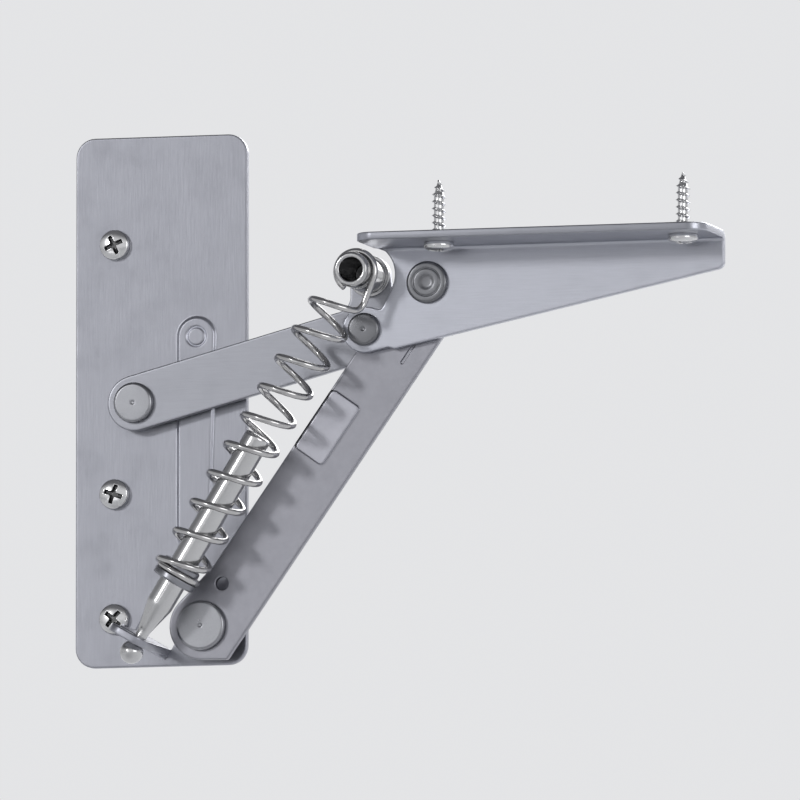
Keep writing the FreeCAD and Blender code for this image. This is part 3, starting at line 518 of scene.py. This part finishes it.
plate_strips = plate_rims + [bead_wall, bead_back, ring_groove, fork_rim, inside_bend]
plate_flats = [[rim[-1] for rim in plate_rims] + [bead_wall[0]],
               [rim[0] for rim in plate_rims] + [bead_back[0]],
               [bead_wall[-1], ring_groove[0]], [ring_groove[-1]], [bead_back[-1]], [fork_rim[0]],
               [fork_rim[-1]]]
sheet_rub = 0.16
bead_wall_painted_highlight = 0.55
plate_zinc = plated_metal("plate_zinc", (0.325, 0.33, 0.366), 0.36, along=(1.0, 1.0, 0.06), wear=0.0)
plate = mesh_piece("mounting_plate", plate_strips, plate_flats, plate_zinc, "plate", rub=sheet_rub)
wall_low, wall_high = plate_front + 0.02, bead_top - 0.02
# Painted highlight: the bead's wall is coloured lighter, so both of its edges show as light lines.
shade_points(plate, lambda x, depth, z: bead_wall_painted_highlight * ((depth > wall_low) & (depth < wall_high)))
stand_for("side_plate")

# Upper arm. A narrow flat arm of plated sheet steel with round ends, blanked in one stroke, with an
# ear above its front pivot. It turns on the plate's upper rivet.
bracket_pivot = joint_places["bracket_pivot"][[0, 2]]
post = np.array((56.62, -20.0, 29.7))
post_hole = 3.85
arm_round, ear_round, hollow_round = 7.1, 5.3, 4.0
upper_arm = [(*upper_pivot, arm_round, 1), (*bracket_pivot, arm_round, 1), (post[0], post[2], ear_round, 1),
             (bracket_pivot[0] - 9.12, bracket_pivot[1] + 9.07, hollow_round, -1)]
upper_back = 4.6
upper_front = upper_back + sheet


def flat_arm(name, shape, holes, back, front, material, body, place, forms=()):
    """A blanked flat arm: its rim and hole edges are rolled, and pressed forms stand on either face.

    A form is (wall, on the front): the wall's first loop opens the face and its last one is filled.
    """
    rims = [rolled_rim(shape, back, front, sheet_edge, place)]
    rims += [hole_rim(*hole, back, front, place) for hole in holes]
    fronts = [rim[-1] for rim in rims] + [wall[0] for wall, on_front in forms if on_front]
    backs = [rim[0] for rim in rims] + [wall[0] for wall, on_front in forms if not on_front]
    walls = [wall for wall, on_front in forms]
    flats = [[wall[-1]] for wall in walls] + [fronts, backs]
    return mesh_piece(name, rims + walls, flats, material, body, rub=sheet_rub)


arm_zinc = plated_metal("arm_zinc", (0.328, 0.334, 0.367), 0.34, along=(0.06, 1.0, 1.0), wear=0.0)
upper_arm_holes = [(*upper_pivot, pivot_hole), (*bracket_pivot, pivot_hole), (post[0], post[2], post_hole)]
long_arm = flat_arm("long_arm", lambda grow: outline(upper_arm, grow, 21), upper_arm_holes,
                    upper_back, upper_front, arm_zinc, "upper_arm", flat_on_plate)
stand_for("upper_arm")

# Lower arm. A wide flat arm of the same sheet steel, whose colour is painted darker all over as painted
# shade for the hinge's shade it lies in. It has a pressed step near its middle, a locating hole, a nick
# beside its front end and a notch that rests on the front spacer when the hinge is open.
link_pivot = np.array((73.22, 27.21))
lower_back = 7.1
lower_front = lower_back + sheet
arm_length = np.hypot(*(link_pivot - lower_pivot))
arm_way = (link_pivot - lower_pivot) / arm_length


def on_lower_arm(across, depth, upright):
    """The lower arm is drawn upright over its plate pivot and leans over to its front pivot."""
    x = lower_pivot[0] + across * arm_way[1] + upright * arm_way[0]
    z = lower_pivot[1] - across * arm_way[0] + upright * arm_way[1]
    return np.stack([x, -depth, z], axis=-1)


# Its rounds in order: foot, front corner, four of the nose, the notch, the rear corner and the waist.
stop = bracket_pivot - lower_pivot
stop = (stop[0] * arm_way[1] - stop[1] * arm_way[0], stop @ arm_way)
corner_round, nose_round, notch_round = 0.8, 1.5, 3.8
lower_arm = [(0.0, 0.0, 8.6, 1), (9.7, -2.95, corner_round, 1), (9.0, arm_length - 3.9, nose_round, 1),
             (5.2, arm_length + 3.9, nose_round, 1), (-1.2, arm_length + 4.7, nose_round, 1),
             (-4.1, arm_length + 1.7, nose_round, 1), (*stop, notch_round, -1),
             (-5.5, stop[1] - 4.7, corner_round, 1), (-12.3, 15.0, 6.0, -1)]
press_depth = 0.4
step_box = rounded_box(-5.75, 51.0, 3.0, 68.7, 1.2)
recess_box = rounded_box(-5.1, 52.0, 2.0, 67.7, 1.2)
nick_box = rounded_box(5.0, arm_length - 21.0, 5.8, arm_length - 14.0, 0.35)
step_wall = pressed_wall(lambda grow: outline(step_box, grow), lower_front, lower_front + press_depth, 0.4,
                         on_lower_arm)
recess_wall = pressed_wall(lambda grow: outline(recess_box, grow), lower_back, lower_back + press_depth, 0.4,
                           on_lower_arm)
nick_wall = pressed_wall(lambda grow: outline(nick_box, grow), lower_front, lower_front - press_depth, 0.25,
                         on_lower_arm, margin=hair)
locating_at = (-1.8, 11.8)
locating_radius = 1.7
# Painted shade: a darker copy of the zinc finish, for the shade the arm lies in.
lower_arm_zinc = plated_metal("lower_arm_zinc", (0.296, 0.297, 0.328), 0.36, along=(0.2, 1.0, 0.2), wear=0.0)
wide_arm = flat_arm("wide_arm", lambda grow: outline(lower_arm, grow, 15),
                    [(0.0, 0.0, pivot_hole), (0.0, arm_length, pivot_hole), (*locating_at, locating_radius)],
                    lower_back, lower_front, lower_arm_zinc, "lower_arm", on_lower_arm,
                    forms=[(step_wall, True), (recess_wall, False), (nick_wall, True)])
locating_hole = on_lower_arm(locating_at[0], 0.0, locating_at[1])
step_gleam = 0.32
locating_hole_painted_shade = 0.7
# The pressed step's top is lighter, and the locating hole's wall is darkened as painted shade for the shadow
# in the gap between arm and plate.
shade_points(wide_arm, lambda x, depth, z: step_gleam * (depth > lower_front + hair) - locating_hole_painted_shade * (
    np.hypot(x - locating_hole[0], z - locating_hole[2]) < locating_radius + hair))
stand_for("lower_arm")

# Bracket. One angle of the same sheet steel, bent along its top edge: its web turns on both arms,
# and two screws go up through its flange. It is drawn flat, as it is blanked, and then bent.
web_back = 9.6
web_front = web_back + sheet
flange_top, flange_rear, flange_front, flange_tip = 38.3, 59.0, 151.0, 31.6
flange_corner = 5.0
bend_inside = 0.9
bend_outside = bend_inside + sheet
bend_start = flange_top - bend_outside
bend_length = 0.5 * math.pi * (bend_inside + bend_outside) / 2
bend_end = bend_start + bend_length


def bent_over(across, thickness, run):
    """The bracket's sheet: straight up, round a quarter circle and straight out, as run grows.

    Thickness is counted from the outside of the bend, and run along the middle of the sheet.
    """
    turn = np.clip((run - bend_start) / bend_length, 0.0, 1.0) * np.pi / 2
    radius = bend_outside - thickness
    depth = web_back + bend_outside - radius * np.cos(turn) + np.maximum(run - bend_end, 0.0)
    up = np.minimum(run, bend_start) + radius * np.sin(turn)
    return np.stack([across, -depth, up], axis=-1)


def with_stations(points, levels):
    """Adds a point wherever the closed outline crosses a level, in its place along the outline."""
    after = np.roll(points, -1, axis=0)
    here, there = points[:, 1:] - levels, after[:, 1:] - levels
    edge, level_index = np.nonzero(here * there < 0)
    share = here[edge, level_index] / (here[edge, level_index] - there[edge, level_index])
    crossing = points[edge] + share[:, None] * (after[edge] - points[edge])
    order = np.argsort(np.concatenate([np.arange(len(points)), edge + share]), kind="stable")
    return np.concatenate([points, crossing])[order]


# Its rounds in order: the nose on the arm's pivot, a small step under it, the front end, the flange's
# front and rear corners, the flange's rear end at the bend, the cut round the post and the nose's top.
blank_tip = bend_end + flange_tip - web_back - bend_outside
blank_round, web_end = 0.65, 2.0
bracket_blank = [(*bracket_pivot, 5.9, 1), (bracket_pivot[0] + 6.1, bracket_pivot[1] - 5.5, 0.8, -1),
                 (bracket_pivot[0] + 7.9, bracket_pivot[1] - 4.5, blank_round, 1),
                 (flange_front - web_end, flange_top - 8.0, web_end, 1),
                 (flange_front - flange_corner, blank_tip - flange_corner, flange_corner, 1),
                 (flange_rear + flange_corner, blank_tip - flange_corner, flange_corner, 1),
                 (flange_rear + blank_round, bend_end - 0.2, blank_round, 1), (post[0], post[2], 7.9, -1),
                 (bracket_pivot[0] + 3.8, bracket_pivot[1] + 6.3, 1.2, -1)]
stations = bend_start + bend_length * np.linspace(0.0, 1.0, 9)
bracket_rim = rolled_rim(lambda grow: with_stations(outline(bracket_blank, grow, 15), stations),
                         0.0, sheet, sheet_edge, bent_over)
flap_screw_x = {"flap_screw_front": 142.7, "flap_screw_rear": 78.7}
flap_screw_depth = 20.5
screw_run = bend_end + flap_screw_depth - web_back - bend_outside
web_rims = [hole_rim(*pivot, pivot_hole, 0.0, sheet, bent_over) for pivot in (bracket_pivot, link_pivot)]
flange_rims = [hole_rim(x, screw_run, screw_hole, 0.0, sheet, bent_over) for x in flap_screw_x.values()]

# The rim's points are sorted to the web, the flange and the eight strips of the bend by how far up the
# flat blank their outline lies.
blank_edge = with_stations(outline(bracket_blank, -sheet_edge - flat_margin, 15), stations)[:, 1]
nearly = 1e-6
bracket_flats, bend_strips = [], []
for end in (0, -1):
    sheet_face = bracket_rim[end]
    on_web, on_flange = blank_edge <= stations[0] + nearly, blank_edge >= stations[-1] - nearly
    bracket_flats.append([sheet_face[on_web]] + [rim[end] for rim in web_rims])
    bracket_flats.append([sheet_face[on_flange]] + [rim[end] for rim in flange_rims])
    for low, high in zip(stations, stations[1:]):
        bend_strips.append([sheet_face[(blank_edge >= low - nearly) & (blank_edge <= high + nearly)]])
bracket_zinc = plated_metal("bracket_zinc", (0.445, 0.455, 0.503), 0.34, along=(0.06, 1.0, 1.0), wear=0.0)
flap_angle = mesh_piece("flap_angle", [bracket_rim] + web_rims + flange_rims, bracket_flats, bracket_zinc,
                        "bracket", bend_strips, sheet_rub)
# Painted shade: the flange's underside darkens towards its tip as painted shadow of the flap above, which is
# not modelled, and its tip is much darker, partly a dull sheared edge and partly that painted shadow.
under_flange_painted_shade, under_run = 0.05, 4.0
flange_tip_painted_shade, tip_run = 0.72, 0.6
shade_points(flap_angle, lambda x, depth, z: (z < flange_top - hair) * (
    -under_flange_painted_shade * np.clip((depth - web_front) / under_run, 0.0, 1.0)
    - flange_tip_painted_shade * np.clip(depth - flange_tip + tip_run, 0.0, 1.0)))
stand_for("flap_bracket")

# Rivets. Cold headed steel pins that join the arms to the plate and to the bracket. Each head is flat
# with a rolled edge and a small punch mark; the front one is spun, which leaves a ring and a dish.


def eased(corners, radius, steps=5):
    """A profile's corners rounded by a radius: each corner becomes a quadratic curve between two points."""
    corners = np.asarray(corners, float)
    before = corners[:-2] - corners[1:-1]
    after = corners[2:] - corners[1:-1]
    cut_before = np.minimum(radius, 0.45 * np.linalg.norm(before, axis=1))[:, None]
    cut_after = np.minimum(radius, 0.45 * np.linalg.norm(after, axis=1))[:, None]
    first = corners[1:-1] + before / np.linalg.norm(before, axis=1)[:, None] * cut_before
    last = corners[1:-1] + after / np.linalg.norm(after, axis=1)[:, None] * cut_after
    t = np.linspace(0.0, 1.0, steps)[None, :, None]
    curve = (1 - t) ** 2 * first[:, None] + 2 * t * (1 - t) * corners[1:-1][:, None] + t ** 2 * last[:, None]
    return np.vstack([corners[:1], curve.reshape(-1, 2), corners[-1:]])


def around(radius, turn, height):
    """Points about an axis: x and y are the radius by the turn's cosine and sine, and z is the height."""
    return np.stack(np.broadcast_arrays(radius * np.cos(turn), radius * np.sin(turn), height), axis=-1)


def lathe(profile, sides=72):
    """Each (radius, height) of the profile goes once round."""
    return around(profile[:, :1], once_round(sides), profile[:, 1:])


def turned_on_pivot(name, node, profile, material, body, ease=0.1):
    """A piece turned about a pivot of the hinge: its profile is (radius, depth), its axis is the solid's."""
    low, high = (np.array(corner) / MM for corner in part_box(node))
    grid = lathe(eased(profile, ease), 96)
    middle = (low + high) / 2
    placed = np.stack([middle[0] + grid[..., 0], -grid[..., 2], middle[2] + grid[..., 1]], axis=-1)
    piece = mesh_piece(name, [placed], [], material, body)
    even = piece.modifiers.new("even", "WEIGHTED_NORMAL")
    even.keep_sharp = True
    even.weight = 80
    stand_for(node)
    return piece


def extent(node):
    """How far the solid's back and front lie in front of the plate's mounting face, and its radius."""
    low, high = (np.array(corner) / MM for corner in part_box(node))
    return -high[1], -low[1], (high[0] - low[0]) / 2


rivet_steel = plated_metal("rivet_steel", (0.33, 0.335, 0.356), 0.30, mottle=0.05, grain=0.03)
rivet_radius = 2.5
rivet_head = 1.4
rivet_edge = 0.5
set_radius = 3.4
front_heads_painted_shade = -0.42
punch_mark = [(0.0, -0.14), (0.3, -0.13), (0.6, -0.02), (0.8, 0.0)]
spun_dish = [(0.0, -0.24), (1.3, -0.22), (2.0, -0.03), (2.3, 0.0), (3.3, 0.0), (3.42, -0.16), (3.62, -0.16),
             (3.75, 0.0)]
for node, body in (("upper_pivot_rivet", "plate"), ("lower_pivot_rivet", "plate"),
                   ("bracket_rivet", "upper_arm"), ("link_rivet", "bracket")):
    back, front, radius = extent(node)
    top = [(reach, front + rise) for reach, rise in (spun_dish if node == "link_rivet" else punch_mark)]
    tail = [(rivet_radius, back), (0.0, back)]
    if node == "bracket_rivet":
        tail = [(rivet_radius, upper_back), (set_radius, upper_back), (set_radius, back), (0.0, back)]
    profile = top + [(radius - rivet_edge, front), (radius, front - rivet_edge),
                     (radius, front - rivet_head), (rivet_radius, front - rivet_head)] + tail
    headed = turned_on_pivot("headed_" + node, node, profile, rivet_steel, body, 0.35)
    # Painted shade: the heads on the upper arm and the bracket are the same steel, coloured darker for the
    # shade they lie in.
    if body != "plate":
        shade_points(headed, lambda x, depth, z: np.full(len(x), front_heads_painted_shade))
back, front, radius = extent("link_rivet_tail")
turned_on_pivot("set_rivet_end", "link_rivet_tail",
                [(0.0, front), (radius, front), (radius, back), (0.0, back)], rivet_steel,
                "lower_arm", 0.2)

# Spacers and washers. Collars turned from steel bar and thin stamped steel rings, loose on their
# rivets, that keep the layers apart.
spacer_steel = plated_metal("spacer_steel", (0.36, 0.365, 0.39), 0.32)
washer_steel = plated_metal("washer_steel", (0.30, 0.305, 0.32), 0.30)
rings = [(node, body, spacer_steel, "spacer_steel", 0.25) for node, body in (
    ("upper_pivot_spacer", "plate"), ("lower_pivot_spacer", "plate"), ("bracket_spacer", "upper_arm"))]
rings += [(node, body, washer_steel, "washer_steel", 0.08) for node, body in (
    ("upper_pivot_washer", "plate"), ("lower_pivot_washer", "plate"), ("link_washer", "bracket"))]
for node, body, material, finish, ease in rings:
    back, front, radius = extent(node)
    middle = (pivot_hole + radius) / 2
    profile = [(middle, front), (radius, front), (radius, back), (pivot_hole, back), (pivot_hole, front),
               (middle, front)]
    turned_on_pivot("turned_" + node, node, profile, material, body, ease)

# Spring post. A hollow post turned from steel bar, nickel plated and riveted to the upper arm's ear.
# The spring's hook lies in the groove round it.
post_nickel = plated_metal("post_nickel", (0.48, 0.48, 0.485), 0.17, mottle=0.05, grain=0.02)
back, front, collar_radius = extent("spring_post")
post_radius, post_bore, post_edge, post_neck = 4.5, 3.0, 0.5, 3.8
bore_edge = 0.3
collar_front, bore_floor = 7.8, 9.3
groove_radius, groove_back, groove_front = 4.0, 18.8, 21.2
post_profile = [(0.0, bore_floor), (post_bore, bore_floor), (post_bore, front - bore_edge),
                (post_bore + bore_edge, front), (post_radius - post_edge, front),
                (post_radius, front - post_edge), (post_radius, groove_front), (groove_radius, groove_front),
                (groove_radius, groove_back), (post_radius, groove_back), (post_radius, collar_front),
                (collar_radius, collar_front), (collar_radius, upper_front), (post_neck, upper_front),
                (post_neck, upper_back), (post_radius, upper_back), (post_radius, back), (0.0, back)]
hollow_post = turned_on_pivot("hollow_post", "spring_post", post_profile, post_nickel,
                              "upper_arm", 0.2)
# Painted shade: the post's bore is darkened inside, from its mouth down to its floor.
bore_painted_shade = 0.8
bore_mouth = front - 2 * bore_edge
shade_points(hollow_post, lambda x, depth, z: -bore_painted_shade * (
    (np.hypot(x - post[0], z - post[2]) < post_bore + hair) & (depth > bore_floor - 2 * hair)
    & (depth < bore_mouth)))

# Spring rod. A bright round rod with a cone, a thin neck and a ball that rests in the plate's fork. It
# is turned from bar, polished and nickel plated.
rod_way = (post - foot) / np.linalg.norm(post - foot)
rod_side = np.array((rod_way[2], 0.0, -rod_way[0]))
rod_depth = np.array((0.0, 1.0, 0.0))


def along_rod(points):
    """Turns points measured across, in depth and along the rod from its ball into the hinge's own places."""
    return foot + points[..., :1] * rod_side + points[..., 1:2] * rod_depth + points[..., 2:] * rod_way


ball_radius, rod_neck, rod_radius, rod_edge = 3.0, 1.6, 3.5, 0.6
neck_turn = 0.563
neck_start, cone_start, cone_end, rod_end = 3.2, 6.2, 14.0, 64.0
ball_arc = np.linspace(-0.5 * np.pi, 0.5 * np.pi - neck_turn, 22)
ball = np.stack([ball_radius * np.cos(ball_arc), ball_radius * np.sin(ball_arc)], axis=-1)
ball[0, 0] = 0.0
shank = eased([(rod_neck, neck_start), (rod_neck, cone_start), (rod_radius, cone_end),
               (rod_radius, rod_end - rod_edge), (rod_radius - rod_edge, rod_end), (0.0, rod_end)], rod_edge)
rod_nickel = plated_metal("rod_nickel", (0.63, 0.63, 0.635), 0.18, mottle=0.04, grain=0.02)
rod = mesh_piece("bright_rod", [along_rod(lathe(np.vstack([ball, shank])))], [], rod_nickel, "rod")
stand_for("spring_rod")

# Spring seat. A sleeve turned from steel bar and pressed on the rod. The spring's end coil is held in
# its groove.
seat_hole, seat_back, seat_front = 3.55, 20.65, 25.85
seat_profile = eased([(seat_hole, seat_back), (5.4, seat_back), (5.8, 21.05), (5.8, 22.45), (4.2, 22.45),
                      (4.2, 24.35), (5.1, 24.35), (5.1, 25.45), (4.7, seat_front), (seat_hole, seat_front),
                      (seat_hole, seat_back)], 0.15)
seat_steel = plated_metal("seat_steel", (0.30, 0.305, 0.33), 0.28)
seat = mesh_piece("spring_sleeve", [along_rod(lathe(seat_profile))], [], seat_steel, "rod")
stand_for("spring_seat")

# Tension spring. Bright hard drawn wire: a narrower end coil, open coils and a hook that lies in the
# post's groove. It stretches between the rod's seat and the post as the hinge closes.
wire_radius = 0.85
wire_sides = 16
coil_radius = 6.15
coil_pitch = 8.4
coil_turns = 9.57
end_radius = 5.2
end_height = 23.4
end_coil_turn = 1.7 * math.pi
pitch_ease = 0.12
hook_radius = 5.05
hook_height = np.linalg.norm(post - foot)
hook_bend = 2.3
hook_turn = math.radians(255.0)
last_angle = -math.asin(hook_bend / coil_radius)
first_angle = last_angle - 2 * math.pi * coil_turns


def arc_between(start, pulls, end, count):
    """Hermite curve from start to end; pulls are how it leaves and how it arrives, as two vectors."""
    t = np.linspace(0.0, 1.0, count)[:, None]
    leave, arrive = pulls
    return ((2 * t ** 3 - 3 * t ** 2 + 1) * start + (t ** 3 - 2 * t ** 2 + t) * leave
            + (-2 * t ** 3 + 3 * t ** 2) * end + (t ** 3 - t ** 2) * arrive)


# The end coil widens from its own radius to the coils' over its last half turn, then climbs.
flat_turn = np.linspace(first_angle - end_coil_turn, first_angle, 44)
widening = np.clip((flat_turn - (first_angle - math.pi)) / math.pi, 0.0, 1.0)
flat_radius = end_radius + (coil_radius - end_radius) * widening ** 2 * (3 - 2 * widening)
end_coil = around(flat_radius, flat_turn, end_height)
climb = np.linspace(first_angle, last_angle, 290)[1:]
turned = (climb - first_angle) / (2 * math.pi)
rise = coil_pitch * (turned - pitch_ease * (1 - np.exp(-turned / pitch_ease)))
rise = rise * (coil_pitch * coil_turns / rise[-1])
coils = around(coil_radius, climb, end_height + rise)

# The last coil runs on straight to the plane of the hook, turns up there and meets the hook's circle in
# a tangent. The hook then goes round the post's groove.
coil_end = coils[-1]
slope = coil_pitch / (2 * math.pi)
ahead = np.array((-coil_radius * math.sin(last_angle), coil_radius * math.cos(last_angle), slope))
ahead = ahead / np.linalg.norm(ahead)
peak = coil_end + ahead * (-coil_end[1] / ahead[1])
to_peak = math.hypot(peak[0], peak[2] - hook_height)
touch_angle = math.atan2(peak[2] - hook_height, peak[0]) + math.acos(hook_radius / to_peak)
touch = np.array((hook_radius * math.cos(touch_angle), 0.0,
                  hook_height + hook_radius * math.sin(touch_angle)))
up_wire = (touch - peak) / np.linalg.norm(touch - peak)
riser_foot = peak + up_wire * np.linalg.norm(peak - coil_end)
pull = 1.6 * np.linalg.norm(peak - coil_end)
turn_up = arc_between(coil_end, (ahead * pull, up_wire * pull), riser_foot, 14)[1:]
riser = riser_foot + np.linspace(0.0, 1.0, 8)[1:, None] * (touch - riser_foot)
wrap = touch_angle + np.linspace(0.0, hook_turn, 52)[1:]
hook = np.stack([hook_radius * np.cos(wrap), np.zeros(wrap.shape),
                 hook_height + hook_radius * np.sin(wrap)], axis=-1)
line = np.vstack([end_coil, coils, turn_up, riser, hook])
hook_count = len(riser) + len(hook)

# The wire's circle is carried along that line. Its guide points away from the rod on the coils, and
# across the hinge on the hook. Both ends close in a small dome.
tangent = np.gradient(line, axis=0)
tangent /= np.linalg.norm(tangent, axis=1)[:, None]
outward = line * (1.0, 1.0, 0.0)
outward /= np.maximum(np.linalg.norm(outward, axis=1), 1e-6)[:, None]
share = np.zeros(len(line))
share[-hook_count:] = 1.0
share[-hook_count - len(turn_up):-hook_count] = np.linspace(0.0, 1.0, len(turn_up))
guide = outward * (1 - share)[:, None] + np.array((0.0, -1.0, 0.0)) * share[:, None]
guide -= tangent * np.sum(guide * tangent, axis=1)[:, None]
guide /= np.linalg.norm(guide, axis=1)[:, None]
across = np.cross(tangent, guide)
around_wire = once_round(wire_sides)
skin = (line[:, None] + wire_radius * (np.cos(around_wire)[None, :, None] * guide[:, None]
                                       + np.sin(around_wire)[None, :, None] * across[:, None]))
dome = wire_radius * 0.35
cap_start = np.repeat(line[:1, None], wire_sides, axis=1) - tangent[0] * dome * 0.7
cap_end = np.repeat(line[-1:, None], wire_sides, axis=1) + tangent[-1] * dome * 0.7
near_start = line[0] + (skin[:1] - line[0]) * 0.7 - tangent[0] * dome * 0.6
near_end = line[-1] + (skin[-1:] - line[-1]) * 0.7 + tangent[-1] * dome * 0.6
wire = np.concatenate([cap_start, near_start, skin, near_end, cap_end])
spring_wire = plated_metal("spring_wire", (0.545, 0.54, 0.54), 0.17, mottle=0.04, grain=0.02)
spring = mesh_piece("coil_spring", [along_rod(wire)], [], spring_wire, None)
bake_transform(spring)
stand_for("tension_spring")

# Wood screws. Nickel plated steel with a pan head, a cross recess, a neck and a cut thread. Three go
# through the plate and two up through the flange.
pan_radius = 3.9
pan_height = 2.3
pan_edge = 0.35
dome_fall, edge_fall = 0.55, 0.25
screw_neck = 2.1
neck_length = 2.0
thread_radius = 1.9
core_radius = 1.28
screw_length = 16.0
tip_length = 4.0
thread_pitch = 1.8


def dome_height(reach):
    """The head's height falls with the square of the radius, and faster near its edge."""
    return pan_height - dome_fall * (reach / pan_radius) ** 2 - edge_fall * (reach / pan_radius) ** 6


def screw_head(sides=160, rings=60):
    """Pan head seen from its top: a dome whose height falls with the radius, less a tapered cross.

    The cross is where either of two crossing bars is nearer than its half width, and its walls slope.
    """
    turn = once_round(sides)[None, :]
    reach = (np.linspace(0.0, 1.0, rings) ** 0.85 * (pan_radius - pan_edge))[:, None]
    x, y = reach * np.cos(turn), reach * np.sin(turn)
    bar_end, bar_half, bar_wall, heart, cross_depth = 2.55, 0.56, 0.22, 0.95, 1.6
    across_bar = np.minimum(np.abs(x), np.abs(y))
    along_bar = np.maximum(np.abs(x), np.abs(y))
    inside = np.minimum((bar_half - across_bar) / bar_wall, (bar_end - along_bar) / (2.2 * bar_wall))
    middle = np.clip((heart - np.hypot(across_bar, along_bar)) / bar_wall, 0.0, 1.0)
    shallower = np.clip(1.25 - along_bar / 3.4, 0.0, 1.0)
    recess = cross_depth * np.clip(np.maximum(inside, middle), 0.0, 1.0) * shallower
    top = around(reach, turn, dome_height(reach) - recess)
    rim_turn = np.linspace(0.15, 1.0, 8)[:, None]
    low_dome = pan_height - dome_fall * ((pan_radius - pan_edge) / pan_radius) ** 2 - 0.19
    rim_radius = pan_radius - pan_edge + pan_edge * np.sin(rim_turn * np.pi / 2)
    rim_height = low_dome - 0.9 + 0.9 * np.cos(rim_turn * np.pi / 2)
    skirt_radius = np.array([pan_radius, pan_radius - 0.12, screw_neck])[:, None]
    skirt_height = np.array([0.12, 0.0, 0.0])[:, None]
    return np.concatenate([top, around(rim_radius, turn, rim_height),
                           around(skirt_radius, turn, skirt_height)])


def screw_thread(sides=160):
    """Neck, then a thread: the radius rises to a sharp crest once a pitch and dies away at the tip."""
    turn = once_round(sides)[None, :]
    rows = np.linspace(0.0, 1.0, 118)[:, None]
    depth = neck_length + rows * (screw_length - neck_length)
    phase = (depth / thread_pitch - turn / (2 * np.pi)) % 1.0
    crest = np.clip(1.0 - np.abs(phase - 0.5) / 0.22, 0.0, 1.0)
    taper = np.clip((screw_length - depth) / tip_length, 0.0, 1.0)
    core = core_radius * taper ** 0.75
    run_in = np.clip((depth - neck_length) / 1.2, 0.0, 1.0)
    outer = thread_radius * taper ** 0.6
    radius = core + (outer - core) * crest * run_in
    shoulder = screw_neck * (1 - (depth - neck_length) / 0.9)
    radius = np.where(depth < neck_length + 0.6, np.maximum(radius, shoulder), radius)
    return np.concatenate([around(screw_neck, turn, 0.0), around(radius, turn, -depth)])


def recess_painted_shade(height, reach):
    """Painted shade in the cross recess: a point's shade grows with how far it lies under the dome."""
    cross_painted_shade, shade_start, shade_run, cross_reach = 0.8, 0.1, 0.4, 3.0
    under = dome_height(reach) - height
    deep = np.clip((under - shade_start) / shade_run, 0.0, 1.0)
    return -cross_painted_shade * deep * (reach < cross_reach) * (height > 0.2)


screw_nickel = plated_metal("screw_nickel", (0.71, 0.71, 0.715), 0.17, mottle=0.04, grain=0.02)
screw_shape = np.concatenate([screw_head(), screw_thread()])
side_twists = {"side_screw_top": 24.0, "side_screw_middle": 71.0, "side_screw_bottom": 48.0}
flap_twists = {"flap_screw_front": 15.0, "flap_screw_rear": 60.0}
for node, twist in {**side_twists, **flap_twists}.items():
    cosine, sine = math.cos(math.radians(twist)), math.sin(math.radians(twist))
    across_head = screw_shape[..., 0] * cosine - screw_shape[..., 1] * sine
    up_head = screw_shape[..., 0] * sine + screw_shape[..., 1] * cosine
    out = screw_shape[..., 2]
    if node in side_twists:
        under_head = np.array((side_screw_x, -plate_front, side_screw_rows[node]))
        placed = np.stack([across_head, -out, up_head], axis=-1) + under_head
        screw = mesh_piece("wood_" + node, [placed], [], screw_nickel, "plate")
        # Painted shade in the screw's cross recess.
        shade_points(screw, lambda x, depth, z: recess_painted_shade(
            depth + under_head[1], np.hypot(x - under_head[0], z - under_head[2])))
    else:
        under_head = np.array((flap_screw_x[node], -flap_screw_depth, flange_top - sheet))
        placed = np.stack([across_head, -up_head, -out], axis=-1) + under_head
        screw = mesh_piece("wood_" + node, [placed], [], screw_nickel, "bracket")
        # Painted shade in the screw's cross recess.
        shade_points(screw, lambda x, depth, z: recess_painted_shade(
            under_head[2] - z, np.hypot(x - under_head[0], depth + under_head[1])))
    stand_for(node)
